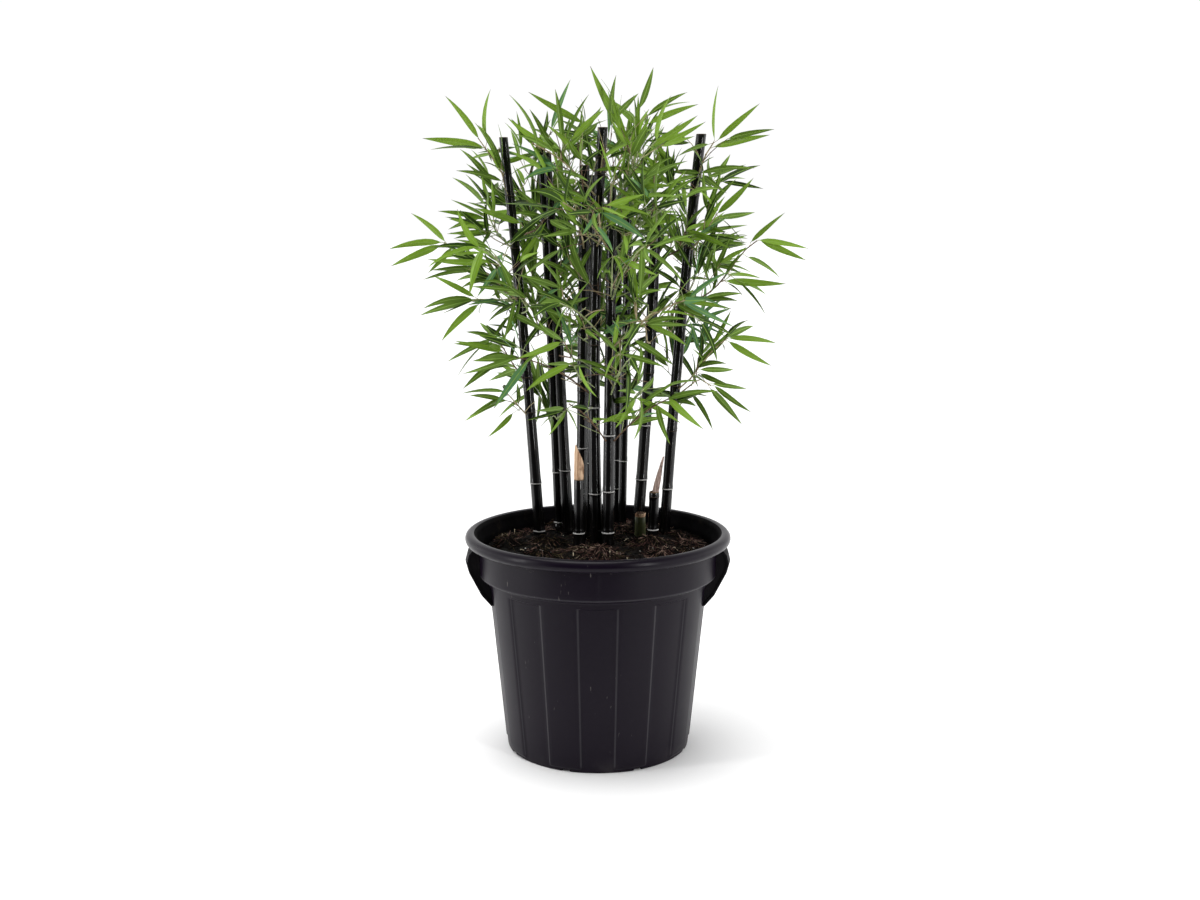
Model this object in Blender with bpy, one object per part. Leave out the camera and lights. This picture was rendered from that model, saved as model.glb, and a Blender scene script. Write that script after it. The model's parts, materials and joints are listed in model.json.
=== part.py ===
"""Black bamboo clump in a round plastic tub, as separate closed solids.

Metres, +Z up.  The origin is the centre of the tub's flat underside, and -Y is the front.
"""

import math
import random
from collections import namedtuple

import bmesh
import bpy
import numpy as np
from mathutils import Matrix, Vector

GAP = 0.0003                    # air between two solids that touch in life

# ---------------------------------------------------------------- tub
RIM_RADIUS = 0.200
TUB_HEIGHT = 0.332
ROLL_RADIUS = 0.009             # the rolled lip's own radius
COLLAR_RADIUS = 0.1795
COLLAR_FOOT = 0.2694            # height where the plain band steps in to the ribbed body
BODY_TOP_RADIUS = 0.1670
BODY_TOP = 0.262
BASE_RADIUS = 0.1385
BASE_CHAMFER = 0.0015
COLLAR_CHAMFER = 0.0036
COLLAR_FLARE = 0.0008           # the plain band is this much wider at its top
ROLL_TURNS = (-72, -25, 25, 75, 125, 185)   # degrees round the lip's section
WALL = 0.0028
FLOOR = 0.0045
PANEL_COUNT = 18                # upright panels, raised and set back in turn
PANEL_RELIEF = 0.0022
PANEL_EDGE = math.radians(0.8)  # half the width of the slope between two panels
PANEL_FOOT = 0.004              # the raised panels die away above the base edge
PANEL_FADE = 0.004
BAND_FOOT = 0.2545              # a plain band level with the raised panels closes them above
BAND_SLOPE = 0.0015
NOTCH_COUNT = 8
NOTCH_WIDTH = 0.013
NOTCH_HEIGHT = 0.003
NOTCH_DEPTH = 0.009
NOTCH_TURN = math.radians(25)   # from the front, to the first notch

# ---------------------------------------------------------------- grips on the tub's sides
GRIP_OUTLINE = (                # radius, height: down the outside of the grip
    (0.1870, 0.3134), (0.1965, 0.3030), (0.2000, 0.2900),
    (0.1960, 0.2750), (0.1785, 0.2405), (0.1640, 0.2230),
)
GRIP_INNER_RADIUS = 0.150       # well inside the tub, before the tub is cut away
GRIP_SPREAD = math.radians(13.0)
GRIP_SHELL = 0.0032
GRIP_WEB = math.radians(1.0)
GRIP_FLANGE = math.radians(0.7)
HOLE_SPREAD = math.radians(9.0)
HOLE_BOTTOM, HOLE_TOP = 0.2500, 0.2760
HOLE_INNER, HOLE_OUTER = 0.170, 0.210

# ---------------------------------------------------------------- compost
SOIL_EDGE = 0.303
SOIL_MOUND = 0.008              # how far the middle stands above the edge
SOIL_CENTRE = (0.0, 0.030)
SOIL_REACH = 0.165              # the mound has died away this far from its centre
SOIL_FLAT = 1.6                 # above 1, the mound's top is level
SOIL_RINGS = (1.0, 0.80, 0.45)  # of the radius, across the surface
SOIL_SIDES = 27
SOIL_CLEARANCE = 0.0009
PLANT_DEPTH = 0.012             # how deep the canes are set

# ---------------------------------------------------------------- canes
CANE_SIDES = 8
NODE_SWELL = 0.0008
NODE_HALF = 0.0022
ROOT_FLARE = 0.0016
ROOT_HEIGHT = 0.014
ROOT_SUNK = 0.002               # the flare is widest just under the surface
SOCKET_ROWS = 4                 # the rows of a stem that reach through the compost's surface

Cane = namedtuple("Cane", "name base top foot_width top_width bow rings")
CANES = (
    Cane("cane_left_outer", (-0.0911, 0.0666), (-0.1412, 0.0766, 0.916), 0.0175, 0.0136, 0.003,
         (0.313, 0.391)),
    Cane("cane_left_back", (-0.062, 0.1), (-0.0864, 0.114, 0.906), 0.013, 0.012, 0.001,
         (0.32, 0.402)),
    Cane("cane_left_thick", (-0.0471, 0.0876), (-0.0771, 0.1008, 0.895), 0.0185, 0.0122, 0.001,
         (0.407,)),
    Cane("cane_centre_left", (-0.026, 0.0325), (-0.0196, 0.0373, 0.874), 0.016, 0.015, 0.0,
         (0.452,)),
    Cane("cane_centre_thin", (-0.0138, 0.0475), (-0.0087, 0.056, 0.86), 0.009, 0.008, 0.0,
         (0.426,)),
    Cane("cane_centre_tall", (-0.0013, 0.0059), (0.007, 0.0067, 0.927), 0.019, 0.015, -0.008,
         (0.387, 0.518)),
    Cane("cane_centre_front", (0.015, -0.0085), (0.0206, -0.0083, 0.842), 0.018, 0.013, 0.0,
         (0.393, 0.478)),
    Cane("cane_back_thin", (0.0299, 0.14), (0.0332, 0.156, 0.777), 0.0115, 0.01, 0.0,
         (0.368, 0.414)),
    Cane("cane_back", (0.0384, 0.12), (0.0481, 0.137, 0.854), 0.0125, 0.012, 0.0, (0.416,)),
    Cane("cane_right_inner", (0.0623, 0.0876), (0.0894, 0.1008, 0.816), 0.018, 0.016, 0.003,
         (0.393, 0.478)),
    Cane("cane_right_outer", (0.1048, 0.0876), (0.1564, 0.1008, 0.922), 0.0165, 0.0155, -0.004,
         (0.378,)),
)
Stub = namedtuple("Stub", "name base top foot_width top_width rings")
STUBS = (
    Stub("stub_front_left", (-0.0283, -0.0201), (-0.0283, -0.0201, 0.4135), 0.0165, 0.015, (0.332,)),
    Stub("stub_right_short", (0.0651, 0.046), (0.0653, 0.046, 0.343), 0.016, 0.016, ()),
    Stub("stub_right_front", (0.0833, 0.0124), (0.0854, 0.0124, 0.3885), 0.016, 0.015, (0.33, 0.381)),
)

# ---------------------------------------------------------------- dry sheaths on the stubs
SHEATH_WALL = 0.0009
SHEATH_STEPS = 6                # round its arc
SHEATH_INSET = 0.0004           # its foot stands just inside the stub's edge
SHEATH_EASE = 0.7               # below 1, it narrows soonest near its foot
Sheath = namedtuple("Sheath", "name stub height start_arc end_arc lean flare rows")
SHEATHS = (
    Sheath("sheath_front_left", 0, 0.052, (-200, 60), (-182, -168), (-0.003, 0.0), 0.0004, 6),
    Sheath("sheath_right_short", 1, 0.005, (-170, 150), (-165, 140), (0.0, 0.0), 0.0006, 3),
    Sheath("sheath_right_front", 2, 0.0545, (-40, 170), (20, 36), (0.006, 0.0), 0.001, 6),
)

# ---------------------------------------------------------------- foliage
CROWN_CENTRE = Vector((0.0, 0.045, 0.0))
SIDE_RISE = 0.020               # hubs towards +X sit this much higher, for each metre out
Layer = namedtuple("Layer", "name start hub_radius hub_height turns fan_top fan_low")
STRAIGHT_TURNS = (0, 74, 134, 180, 254, 314)
STAGGERED_TURNS = (0, 46, 106, 180, 226, 286)
LAYERS = (
    Layer("skirt", 0.470, 0.148, 0.538, STRAIGHT_TURNS, 12, -58),
    Layer("lower", 0.540, 0.168, 0.604, STAGGERED_TURNS, 28, -52),
    Layer("middle", 0.612, 0.190, 0.684, STRAIGHT_TURNS, 32, -52),
    Layer("wide", 0.680, 0.236, 0.762, STAGGERED_TURNS, 38, -72),
    Layer("upper", 0.752, 0.172, 0.820, STRAIGHT_TURNS, 50, -30),
    Layer("high", 0.830, 0.162, 0.902, (0, 70, 180, 236, 300), 82, 0),
    Layer("crest", 0.885, 0.075, 0.927, (40, 165, 280), 78, 15),
)
SIDE_FANS = {                   # leaves at the hubs to the left and right, degrees above level
    ("skirt", 180): (-5, -30, -45), ("skirt", 0): (-5, -31, -50, -66),
    ("lower", 180): (2, 35, -18, -40), ("lower", 0): (-6, 15, -31, -50),
    ("middle", 180): (-2, 25, -15, -45), ("middle", 0): (-4, 47, -30, 64),
    ("wide", 180): (42, -5, -22, -63), ("wide", 0): (43, -8, -22, -40),
    ("upper", 180): (37, 80, 13, -12, -30), ("upper", 0): (45, 20, 0, -38),
    ("high", 180): (51, 84, 7, -8), ("high", 0): (42, 84, 13),
}
SIDE_SWING = 0.30               # radians, the most that a side fan's leaf leaves its plane
FAN_SWING = 0.70
CREST_SWING = 1.5               # the leaves at the top point more ways
LEAST_SWING = 0.05
STEM_RADIUS = 0.0016
TWIG_RADIUS = 0.0011
SHOOT_TAPER = 0.25              # share of a shoot's width lost by its end
TWIG_EXIT = 0.003               # a twig has its full width this far from the stem's middle
STEM_STEPS = 4
SHORTEST_STEM = 0.035
STEM_TO_CANE = 0.004            # from a stem's middle to the face of any cane it passes
START_BELOW = 0.022             # a stem leaves its cane at least this far below the cane's top
ARCH = 0.14                     # how far the stem arches above its chord, of its length
SIDE_TWIGS = 4
FIRST_TWIG, LAST_TWIG = 0.14, 0.62      # places along the stem
TWIG_SPREADS = (0.95, 0.6, 1.3)         # radians to the side, tried in turn
TWIG_CLEAR = 0.003
TWIG_LENGTH = 0.046
LEAF_LENGTH = 0.084
LEAF_WIDTH = 0.180              # of the length
HUB_LEAVES = 5                  # with the one at the stem's end
TWIG_LEAVES = 3
LEAF_STEP = 0.0055              # from one leaf's foot to the next, along a twig
LEAF_THICK = 0.016              # of the length
LEAF_WIDEST = 0.36              # places along the length
LEAF_KEEL = 0.14
LEAF_SAMPLES = 10               # places along a leaf where its clearances are measured
LEAF_CROWDED = 0.3              # leaves may crowd each other over this share, at the foot
LEAF_TO_CANE = 0.002
STEEPEST = 1.48                 # no leaf or twig points closer to straight up than this
SPACE_MARGIN = 0.0012
SPACE_AHEAD = 0.45              # a space's middle line runs on past the hub, in leaf lengths
LEAF_APART = 0.0035
RUN_STEPS = 6                   # places along each of two runs whose distance is measured
OPEN_AIR = 0.462                # no leaf hangs lower than this

COLOURS = {
    "tub_plastic": ((0.020, 0.019, 0.022), 0.42),
    "compost": ((0.030, 0.018, 0.012), 0.95),
    "black_cane": ((0.012, 0.011, 0.012), 0.30),
    "olive_cane": ((0.070, 0.075, 0.030), 0.40),
    "dry_sheath": ((0.480, 0.330, 0.200), 0.75),
    "leaf_green": ((0.110, 0.230, 0.035), 0.55),
}


def clear_scene():
    for item in list(bpy.data.objects):
        bpy.data.objects.remove(item, do_unlink=True)


def material(name):
    """One Principled material, made on first use."""
    found = bpy.data.materials.get(name)
    if found:
        return found
    made = bpy.data.materials.new(name)
    made.use_nodes = True
    colour, roughness = COLOURS[name]
    shader = made.node_tree.nodes["Principled BSDF"]
    shader.inputs["Base Color"].default_value = (*colour, 1.0)
    shader.inputs["Roughness"].default_value = roughness
    shader.inputs["Metallic"].default_value = 0.0
    made.diffuse_color = (*colour, 1.0)
    return made


def add_object(name, points, faces, material_name, smooth_angle=40):
    """A named object from points and faces, with its faces turned outwards."""
    mesh = bpy.data.meshes.new(name)
    mesh.from_pydata([tuple(p) for p in points], [], faces)
    work = bmesh.new()
    work.from_mesh(mesh)
    bmesh.ops.recalc_face_normals(work, faces=work.faces)
    work.to_mesh(mesh)
    work.free()
    mesh.materials.append(material(material_name))
    mesh.shade_smooth()
    mesh.set_sharp_from_angle(angle=math.radians(smooth_angle))
    item = bpy.data.objects.new(name, mesh)
    bpy.context.scene.collection.objects.link(item)
    return item


def ring_faces(ring_count, sides):
    """Quads between rings of points, with a polygon on each end."""
    faces = []
    for ring in range(ring_count - 1):
        low = ring * sides
        high = low + sides
        for side in range(sides):
            after = (side + 1) % sides
            faces.append((low + side, low + after, high + after, high + side))
    faces.append(tuple(range(sides))[::-1])
    faces.append(tuple(range((ring_count - 1) * sides, ring_count * sides)))
    return faces


def boolean(target, cutter, operation="DIFFERENCE"):
    """Apply a Boolean with one cutter and remove the cutter."""
    step = target.modifiers.new("cut", "BOOLEAN")
    step.operation = operation
    step.solver = "EXACT"
    step.object = cutter
    apply_modifiers(target)
    bpy.data.objects.remove(cutter, do_unlink=True)


def apply_modifiers(target):
    graph = bpy.context.evaluated_depsgraph_get()
    graph.update()
    result = bpy.data.meshes.new_from_object(target.evaluated_get(graph))
    target.modifiers.clear()
    target.data = result


# ================================================================ tub

def panel_angles():
    """Angles round the tub, three to a panel, with a narrow slope between panels."""
    panel = math.tau / PANEL_COUNT
    angles = []
    for index in range(PANEL_COUNT):
        start = -math.pi / 2 + (index - 0.5) * panel
        inner = panel - 2 * PANEL_EDGE
        angles += [start + PANEL_EDGE + inner * part / 2 for part in range(3)]
    return angles


def panel_rise(angle, height):
    """How far the wall stands out here: every other panel is raised, and so is the band."""
    panel = math.tau / PANEL_COUNT
    raised = math.floor((angle + math.pi / 2) / panel + 0.5) % 2
    foot = min(1.0, max(0.0, (height - PANEL_FOOT) / PANEL_FADE))
    band = min(1.0, max(0.0, (height - BAND_FOOT) / BAND_SLOPE + 1.0))
    return PANEL_RELIEF * max(band, foot * raised)


def body_radius(height):
    share = height / BODY_TOP
    return BASE_RADIUS + (BODY_TOP_RADIUS - PANEL_RELIEF - BASE_RADIUS) * share


def outer_profile():
    """Radius, height and whether the panels show, up the outside to the rolled lip."""
    rows = [(BASE_RADIUS - BASE_CHAMFER, 0.0, False)]
    rows.append((body_radius(BASE_CHAMFER), BASE_CHAMFER, False))
    for height in (PANEL_FOOT, PANEL_FOOT + PANEL_FADE, BAND_FOOT - BAND_SLOPE, BAND_FOOT, BODY_TOP):
        rows.append((body_radius(height), height, True))
    rows.append((COLLAR_RADIUS - COLLAR_CHAMFER, COLLAR_FOOT - COLLAR_CHAMFER / 2, False))
    rows.append((COLLAR_RADIUS, COLLAR_FOOT, False))
    rows.append((COLLAR_RADIUS + COLLAR_FLARE, TUB_HEIGHT - 2 * ROLL_RADIUS, False))
    return rows


def roll_profile():
    """The rolled lip, from under its outer edge over the top to its inner edge."""
    centre_radius = RIM_RADIUS - ROLL_RADIUS
    centre_height = TUB_HEIGHT - ROLL_RADIUS
    rows = []
    for degrees in ROLL_TURNS:
        turn = math.radians(degrees)
        radius = centre_radius + ROLL_RADIUS * math.cos(turn)
        rows.append((radius, centre_height + ROLL_RADIUS * math.sin(turn), False))
    return rows


def inner_profile():
    """The inside wall, from under the lip down to the floor."""
    return [
        (COLLAR_RADIUS - WALL, TUB_HEIGHT - 2 * ROLL_RADIUS, False),
        (COLLAR_RADIUS - WALL, COLLAR_FOOT + WALL, False),
        (inner_body_radius(COLLAR_FOOT - WALL), COLLAR_FOOT - WALL, False),
        (inner_body_radius(FLOOR), FLOOR, False),
    ]


def inner_body_radius(height):
    return body_radius(height) - WALL


def tub_points(profile, angles, swell=0.0):
    points = []
    for radius, height, ribbed in profile:
        for angle in angles:
            r = radius + swell + (panel_rise(angle, height) if ribbed else 0.0)
            points.append((r * math.cos(angle), r * math.sin(angle), height))
    return points


def make_tub():
    angles = panel_angles()
    profile = outer_profile() + roll_profile() + inner_profile()
    points = tub_points(profile, angles)
    tub = add_object("tub", points, ring_faces(len(profile), len(angles)), "tub_plastic", 50)
    boolean(tub, notch_cutter())
    return tub


def notch_cutter():
    """Blocks that cut the drain notches into the base edge."""
    boxes = bmesh.new()
    for index in range(NOTCH_COUNT):
        turn = -math.pi / 2 + NOTCH_TURN + index * math.tau / NOTCH_COUNT
        centre = Vector((math.cos(turn), math.sin(turn), 0)) * BASE_RADIUS
        size = Matrix.Diagonal((NOTCH_DEPTH * 2, NOTCH_WIDTH, NOTCH_HEIGHT * 2, 1))
        place = Matrix.Translation(centre) @ Matrix.Rotation(turn, 4, "Z") @ size
        bmesh.ops.create_cube(boxes, size=1.0, matrix=place)
    mesh = bpy.data.meshes.new("notches")
    boxes.to_mesh(mesh)
    boxes.free()
    return wire_object("notches", mesh)


def wire_object(name, mesh):
    """A cutter, kept out of the model."""
    item = bpy.data.objects.new(name, mesh)
    item.hide_render = True
    item.display_type = "WIRE"
    bpy.context.scene.collection.objects.link(item)
    return item


def tub_cutter():
    """The tub's outside as one filled solid, a gap larger, to cut what lies against it."""
    profile = outer_profile() + roll_profile()[:4]
    angles = panel_angles()
    mesh = bpy.data.meshes.new("tub_outside")
    points = tub_points(profile, angles, GAP)
    mesh.from_pydata(points, [], ring_faces(len(profile), len(angles)))
    return wire_object("tub_outside", mesh)


# ================================================================ grips

def sector(outline, start, end, steps, name):
    """A closed outline of radius and height, swept round part of a turn."""
    points = []
    for step in range(steps + 1):
        angle = start + (end - start) * step / steps
        points += [(r * math.cos(angle), r * math.sin(angle), z) for r, z in outline]
    return add_object(name, points, ring_faces(steps + 1, len(outline)), "tub_plastic", 30)


def inset_outline(distance):
    """The grip's outline moved inwards, for the pocket behind its shell."""
    moved = []
    last = len(GRIP_OUTLINE) - 1
    for index, (radius, height) in enumerate(GRIP_OUTLINE):
        before = GRIP_OUTLINE[max(0, index - 1)]
        after = GRIP_OUTLINE[min(last, index + 1)]
        run = Vector((after[0] - before[0], after[1] - before[1])).normalized()
        moved.append((radius + run.y * distance, height - run.x * distance))
    return moved


def closed_outline(points):
    """The grip's outside line closed through a line inside the tub."""
    return list(points) + [(GRIP_INNER_RADIUS, points[-1][1]), (GRIP_INNER_RADIUS, points[0][1])]


def make_grip(name, facing):
    """A shell with two end webs, a pocket for the fingers and a hand hole below."""
    grip = sector(closed_outline(GRIP_OUTLINE), facing - GRIP_SPREAD, facing + GRIP_SPREAD, 6, name)
    inner_line = closed_outline(inset_outline(GRIP_SHELL))
    web_edge = GRIP_SPREAD - GRIP_FLANGE
    pocket = web_edge - GRIP_WEB
    boolean(grip, sector(inner_line, facing - pocket, facing + pocket, 6, "pocket"))
    past = GRIP_SPREAD + GRIP_FLANGE
    for start, end in ((-past, -web_edge), (web_edge, past)):
        boolean(grip, sector(inner_line, facing + start, facing + end, 1, "recess"))
    hole_line = [
        (HOLE_OUTER, HOLE_BOTTOM), (HOLE_OUTER, HOLE_TOP),
        (HOLE_INNER, HOLE_TOP), (HOLE_INNER, HOLE_BOTTOM),
    ]
    boolean(grip, sector(hole_line, facing - HOLE_SPREAD, facing + HOLE_SPREAD, 6, "hand_hole"))
    boolean(grip, tub_cutter())
    return grip


# ================================================================ compost

def soil_height(x, y):
    """The compost's surface: a low mound with its top a little behind the middle."""
    away = math.hypot(x - SOIL_CENTRE[0], y - SOIL_CENTRE[1])
    share = max(0.0, 1.0 - (away / SOIL_REACH) ** 2)
    return SOIL_EDGE + SOIL_MOUND * min(1.0, SOIL_FLAT * share)


def make_soil(stems):
    """The root ball with its mounded top, and a socket for each stem."""
    side = [
        (inner_body_radius(FLOOR + GAP) - SOIL_CLEARANCE, FLOOR + GAP),
        (inner_body_radius(COLLAR_FOOT - WALL) - SOIL_CLEARANCE, COLLAR_FOOT - WALL + GAP),
        (COLLAR_RADIUS - WALL - SOIL_CLEARANCE, COLLAR_FOOT + WALL + 2 * GAP),
    ]
    points = []
    angles = [math.tau * (index + 0.5) / SOIL_SIDES for index in range(SOIL_SIDES)]
    for radius, height in side:
        points += [(radius * math.cos(a), radius * math.sin(a), height) for a in angles]
    for share in SOIL_RINGS:
        radius = side[-1][0] * share
        for a in angles:
            x, y = radius * math.cos(a), radius * math.sin(a)
            points.append((x, y, soil_height(x, y)))
    rings = len(side) + len(SOIL_RINGS)
    soil = add_object("compost", points, ring_faces(rings, SOIL_SIDES), "compost", 60)
    for stem in stems:
        cut_points, cut_faces = stem_mesh(stem, GAP)
        boolean(soil, add_object(f"socket_{stem.name}", cut_points, cut_faces, "compost"))
    return soil


# ================================================================ canes

def cane_point(cane, height):
    """The middle of the cane at a height, along its lean and its bow."""
    foot = SOIL_EDGE + SOIL_MOUND
    share = (height - foot) / (cane.top[2] - foot)
    bow = getattr(cane, "bow", 0.0) * 4 * share * (1 - share)   # a stub has none
    x = cane.base[0] + (cane.top[0] - cane.base[0]) * share + bow
    y = cane.base[1] + (cane.top[1] - cane.base[1]) * share
    return Vector((x, y, height))


def cane_radius(cane, height):
    foot = SOIL_EDGE + SOIL_MOUND
    share = min(1.0, max(0.0, (height - foot) / (cane.top[2] - foot)))
    return (cane.foot_width + (cane.top_width - cane.foot_width) * share) / 2


def cane_profile(cane):
    """Height and radius up the cane: root flare, a narrow swelling at each ring, then the top."""
    ground = soil_height(*cane.base)
    bottom = ground - PLANT_DEPTH
    rows = [(bottom, cane_radius(cane, ground) + ROOT_FLARE / 2)]
    rows.append((ground - ROOT_SUNK, cane_radius(cane, ground) + ROOT_FLARE))
    rows.append((ground + ROOT_HEIGHT / 2, cane_radius(cane, ground) + ROOT_FLARE * 0.3))
    for ring in cane.rings:
        if ring > ground + ROOT_HEIGHT:
            rows.append((ring - NODE_HALF, cane_radius(cane, ring)))
        rows.append((ring, cane_radius(cane, ring) + NODE_SWELL))
        rows.append((ring + NODE_HALF, cane_radius(cane, ring)))
    rows = sorted(rows)
    last = rows[-1][0]
    spans = 4 if getattr(cane, "bow", 0.0) else 2
    for span in range(1, spans + 1):
        height = last + (cane.top[2] - last) * span / spans
        rows.append((height, cane_radius(cane, height)))
    return rows


def stem_mesh(cane, swell=0.0):
    """Points and faces of a cane, which can be made a little larger to cut its socket."""
    rows = cane_profile(cane)
    if swell:
        rows = [(rows[0][0] - swell, rows[0][1])] + rows[1:SOCKET_ROWS]
    points = []
    for height, radius in rows:
        centre = cane_point(cane, height)
        for side in range(CANE_SIDES):
            angle = math.tau * side / CANE_SIDES
            spoke = Vector((math.cos(angle), math.sin(angle), 0)) * (radius + swell)
            points.append(centre + spoke)
    return points, ring_faces(len(rows), CANE_SIDES)


def make_canes():
    for cane in CANES:
        points, faces = stem_mesh(cane)
        add_object(cane.name, points, faces, "black_cane", 30)
    for stub in STUBS:
        points, faces = stem_mesh(stub)
        colour = "olive_cane" if "short" in stub.name else "black_cane"
        add_object(stub.name, points, faces, colour, 30)


def make_sheath(sheath):
    """A dry sheath: part of a tube round the stub's head that narrows to a point."""
    stub = STUBS[sheath.stub]
    seat = stub.top[2] + GAP
    outer, inner = [], []
    for row in range(sheath.rows):
        share = row / (sheath.rows - 1)
        ease = share ** SHEATH_EASE
        start = sheath.start_arc[0] + (sheath.end_arc[0] - sheath.start_arc[0]) * ease
        end = sheath.start_arc[1] + (sheath.end_arc[1] - sheath.start_arc[1]) * ease
        radius = stub.top_width / 2 - SHEATH_INSET + sheath.flare * share
        centre = Vector((stub.top[0] + sheath.lean[0] * share, stub.top[1] + sheath.lean[1] * share, 0))
        for step in range(SHEATH_STEPS + 1):
            angle = math.radians(start + (end - start) * step / SHEATH_STEPS)
            spoke = Vector((math.cos(angle), math.sin(angle), 0))
            height = Vector((0, 0, seat + sheath.height * share))
            outer.append(centre + spoke * radius + height)
            inner.append(centre + spoke * (radius - SHEATH_WALL) + height)
    faces = sheet_faces(sheath.rows, SHEATH_STEPS + 1)
    return add_object(sheath.name, outer + inner, faces, "dry_sheath", 30)


def sheet_faces(rows, columns):
    """Faces of a bent sheet with an outside, an inside and a rim."""
    back = rows * columns
    faces = []
    for row in range(rows - 1):
        for column in range(columns - 1):
            a = row * columns + column
            b = a + columns
            faces.append((a, a + 1, b + 1, b))
            faces.append((back + a, back + b, back + b + 1, back + a + 1))
    for column in range(columns - 1):
        last = (rows - 1) * columns + column
        faces.append((column, back + column, back + column + 1, column + 1))
        faces.append((last, last + 1, back + last + 1, back + last))
    for row in range(rows - 1):
        a, b = row * columns, (row + 1) * columns
        faces.append((a, b, back + b, back + a))
        c, d = a + columns - 1, b + columns - 1
        faces.append((c, back + c, back + d, d))
    return faces


# ================================================================ foliage: the plan of the sprays

Spray = namedtuple("Spray", "name turn cane line fan swing")


def pointing(flat, rise):
    """The direction at an angle round the vertical and an angle above level."""
    return Vector((math.cos(flat) * math.cos(rise), math.sin(flat) * math.cos(rise), math.sin(rise)))


def curve_points(start, knee, end, steps):
    """Points along a curve from start to end that leaves towards the knee."""
    points = []
    for step in range(steps + 1):
        t = step / steps
        points.append(start * (1 - t) ** 2 + knee * 2 * t * (1 - t) + end * t ** 2)
    return points


def clear_of_canes(points, width, skip=None):
    """Whether every point keeps its distance from every cane."""
    for cane in CANES:
        if cane is skip:
            continue
        for point in points:
            if point.z > cane.top[2] + width + LEAF_TO_CANE:
                continue
            middle = cane_point(cane, min(point.z, cane.top[2]))
            away = math.hypot(point.x - middle.x, point.y - middle.y)
            if away < cane_radius(cane, point.z) + width:
                return False
    return True


def stem_line(cane, height, hub):
    """The stem's curve from the face of its cane to the hub of its leaves."""
    middle = cane_point(cane, height)
    outward = Vector((hub.x - middle.x, hub.y - middle.y, 0)).normalized()
    start = middle + outward * (cane_radius(cane, height) + GAP)
    chord = hub - start
    knee = start + chord * 0.5 + Vector((0, 0, ARCH * chord.length))
    return curve_points(start, knee, hub, STEM_STEPS)


def stem_is_clear(cane, line):
    """Whether a stem is long enough and touches no cane, past the face of its own."""
    if (line[-1] - line[0]).length < SHORTEST_STEM:
        return False
    return clear_of_canes(line, STEM_TO_CANE, skip=cane) and clear_of_canes(line[1:], STEM_TO_CANE)


def choose_cane(layer, hub):
    """The nearest cane from which a stem reaches the hub without touching another."""
    choices = []
    for cane in CANES:
        height = min(layer.start, cane.top[2] - START_BELOW)
        middle = cane_point(cane, height)
        away = math.hypot(hub.x - middle.x, hub.y - middle.y)
        choices.append((away + 0.6 * (layer.start - height), cane.name, cane, height))
    for _, _, cane, height in sorted(choices):
        line = stem_line(cane, height, hub)
        if stem_is_clear(cane, line):
            return cane, line
    raise ValueError("no cane carries this spray")


def leaf_fan(layer, degrees):
    """Degrees above level of the leaves at a hub, the stem's own first, and their widest swing."""
    if (layer.name, degrees) in SIDE_FANS:
        return SIDE_FANS[layer.name, degrees], SIDE_SWING
    others = HUB_LEAVES - 1
    step = (layer.fan_low - layer.fan_top) / (others - 1)
    fan = [(layer.fan_top + layer.fan_low) / 2]
    fan += [layer.fan_top + step * index for index in range(others)]
    return fan, CREST_SWING if layer.name == "crest" else FAN_SWING


def plan_sprays():
    """One spray for each turn of each layer: its cane, its stem and the fan at its hub."""
    sprays = []
    for layer in LAYERS:
        for number, degrees in enumerate(layer.turns, 1):
            turn = math.radians(degrees)
            hub = CROWN_CENTRE + pointing(turn, 0.0) * layer.hub_radius
            hub.z = layer.hub_height + SIDE_RISE * hub.x
            cane, line = choose_cane(layer, hub)
            if layer.name == "crest":
                turn = math.atan2(hub.y - line[0].y, hub.x - line[0].x)
            name = f"spray_{layer.name}_{number}"
            sprays.append(Spray(name, turn, cane, line, *leaf_fan(layer, degrees)))
    return sprays


class Spaces:
    """The air round each stem: a place belongs to the spray whose stem is nearest."""

    def __init__(self, sprays):
        heads, tails, owners = [], [], []
        for index, spray in enumerate(sprays):
            ahead = (spray.line[-1] - spray.line[-2]).normalized()
            line = spray.line + [spray.line[-1] + ahead * LEAF_LENGTH * SPACE_AHEAD]
            for a, b in zip(line, line[1:]):
                heads.append(tuple(a))
                tails.append(tuple(b))
                owners.append(index)
        self.heads = np.array(heads)
        self.runs = np.array(tails) - self.heads
        self.owners = np.array(owners)
        self.squares = (self.runs ** 2).sum(axis=1)

    def owns(self, index, points):
        """Whether all the points lie in the spray's space, clear of its border."""
        places = np.array([tuple(p) for p in points])
        offset = places[:, None, :] - self.heads[None]
        share = np.clip((offset * self.runs).sum(axis=2) / self.squares, 0, 1)
        away = np.linalg.norm(offset - share[..., None] * self.runs, axis=2)
        mine = self.owners == index
        return bool(np.all(away[:, mine].min(axis=1) + SPACE_MARGIN < away[:, ~mine].min(axis=1)))


# ================================================================ foliage: growing one spray

Leaf = namedtuple("Leaf", "root tip across lift length")
Shoot = namedtuple("Shoot", "line width leaf")


def turned(direction, swing, tip_up):
    """A direction swung sideways about the vertical, then tipped up or down."""
    flat = math.atan2(direction.y, direction.x) + swing
    rise = math.asin(max(-1.0, min(1.0, direction.z))) + tip_up
    return pointing(flat, max(-STEEPEST, min(STEEPEST, rise)))


def lay_leaf(root, direction, length, roll):
    """A leaf's place: its tip, and the directions across it and out of its face."""
    level = direction.cross(Vector((0, 0, 1))).normalized()
    across = Matrix.Rotation(roll, 3, direction) @ level
    return Leaf(root, root + direction * length, across, across.cross(direction), length)


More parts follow.
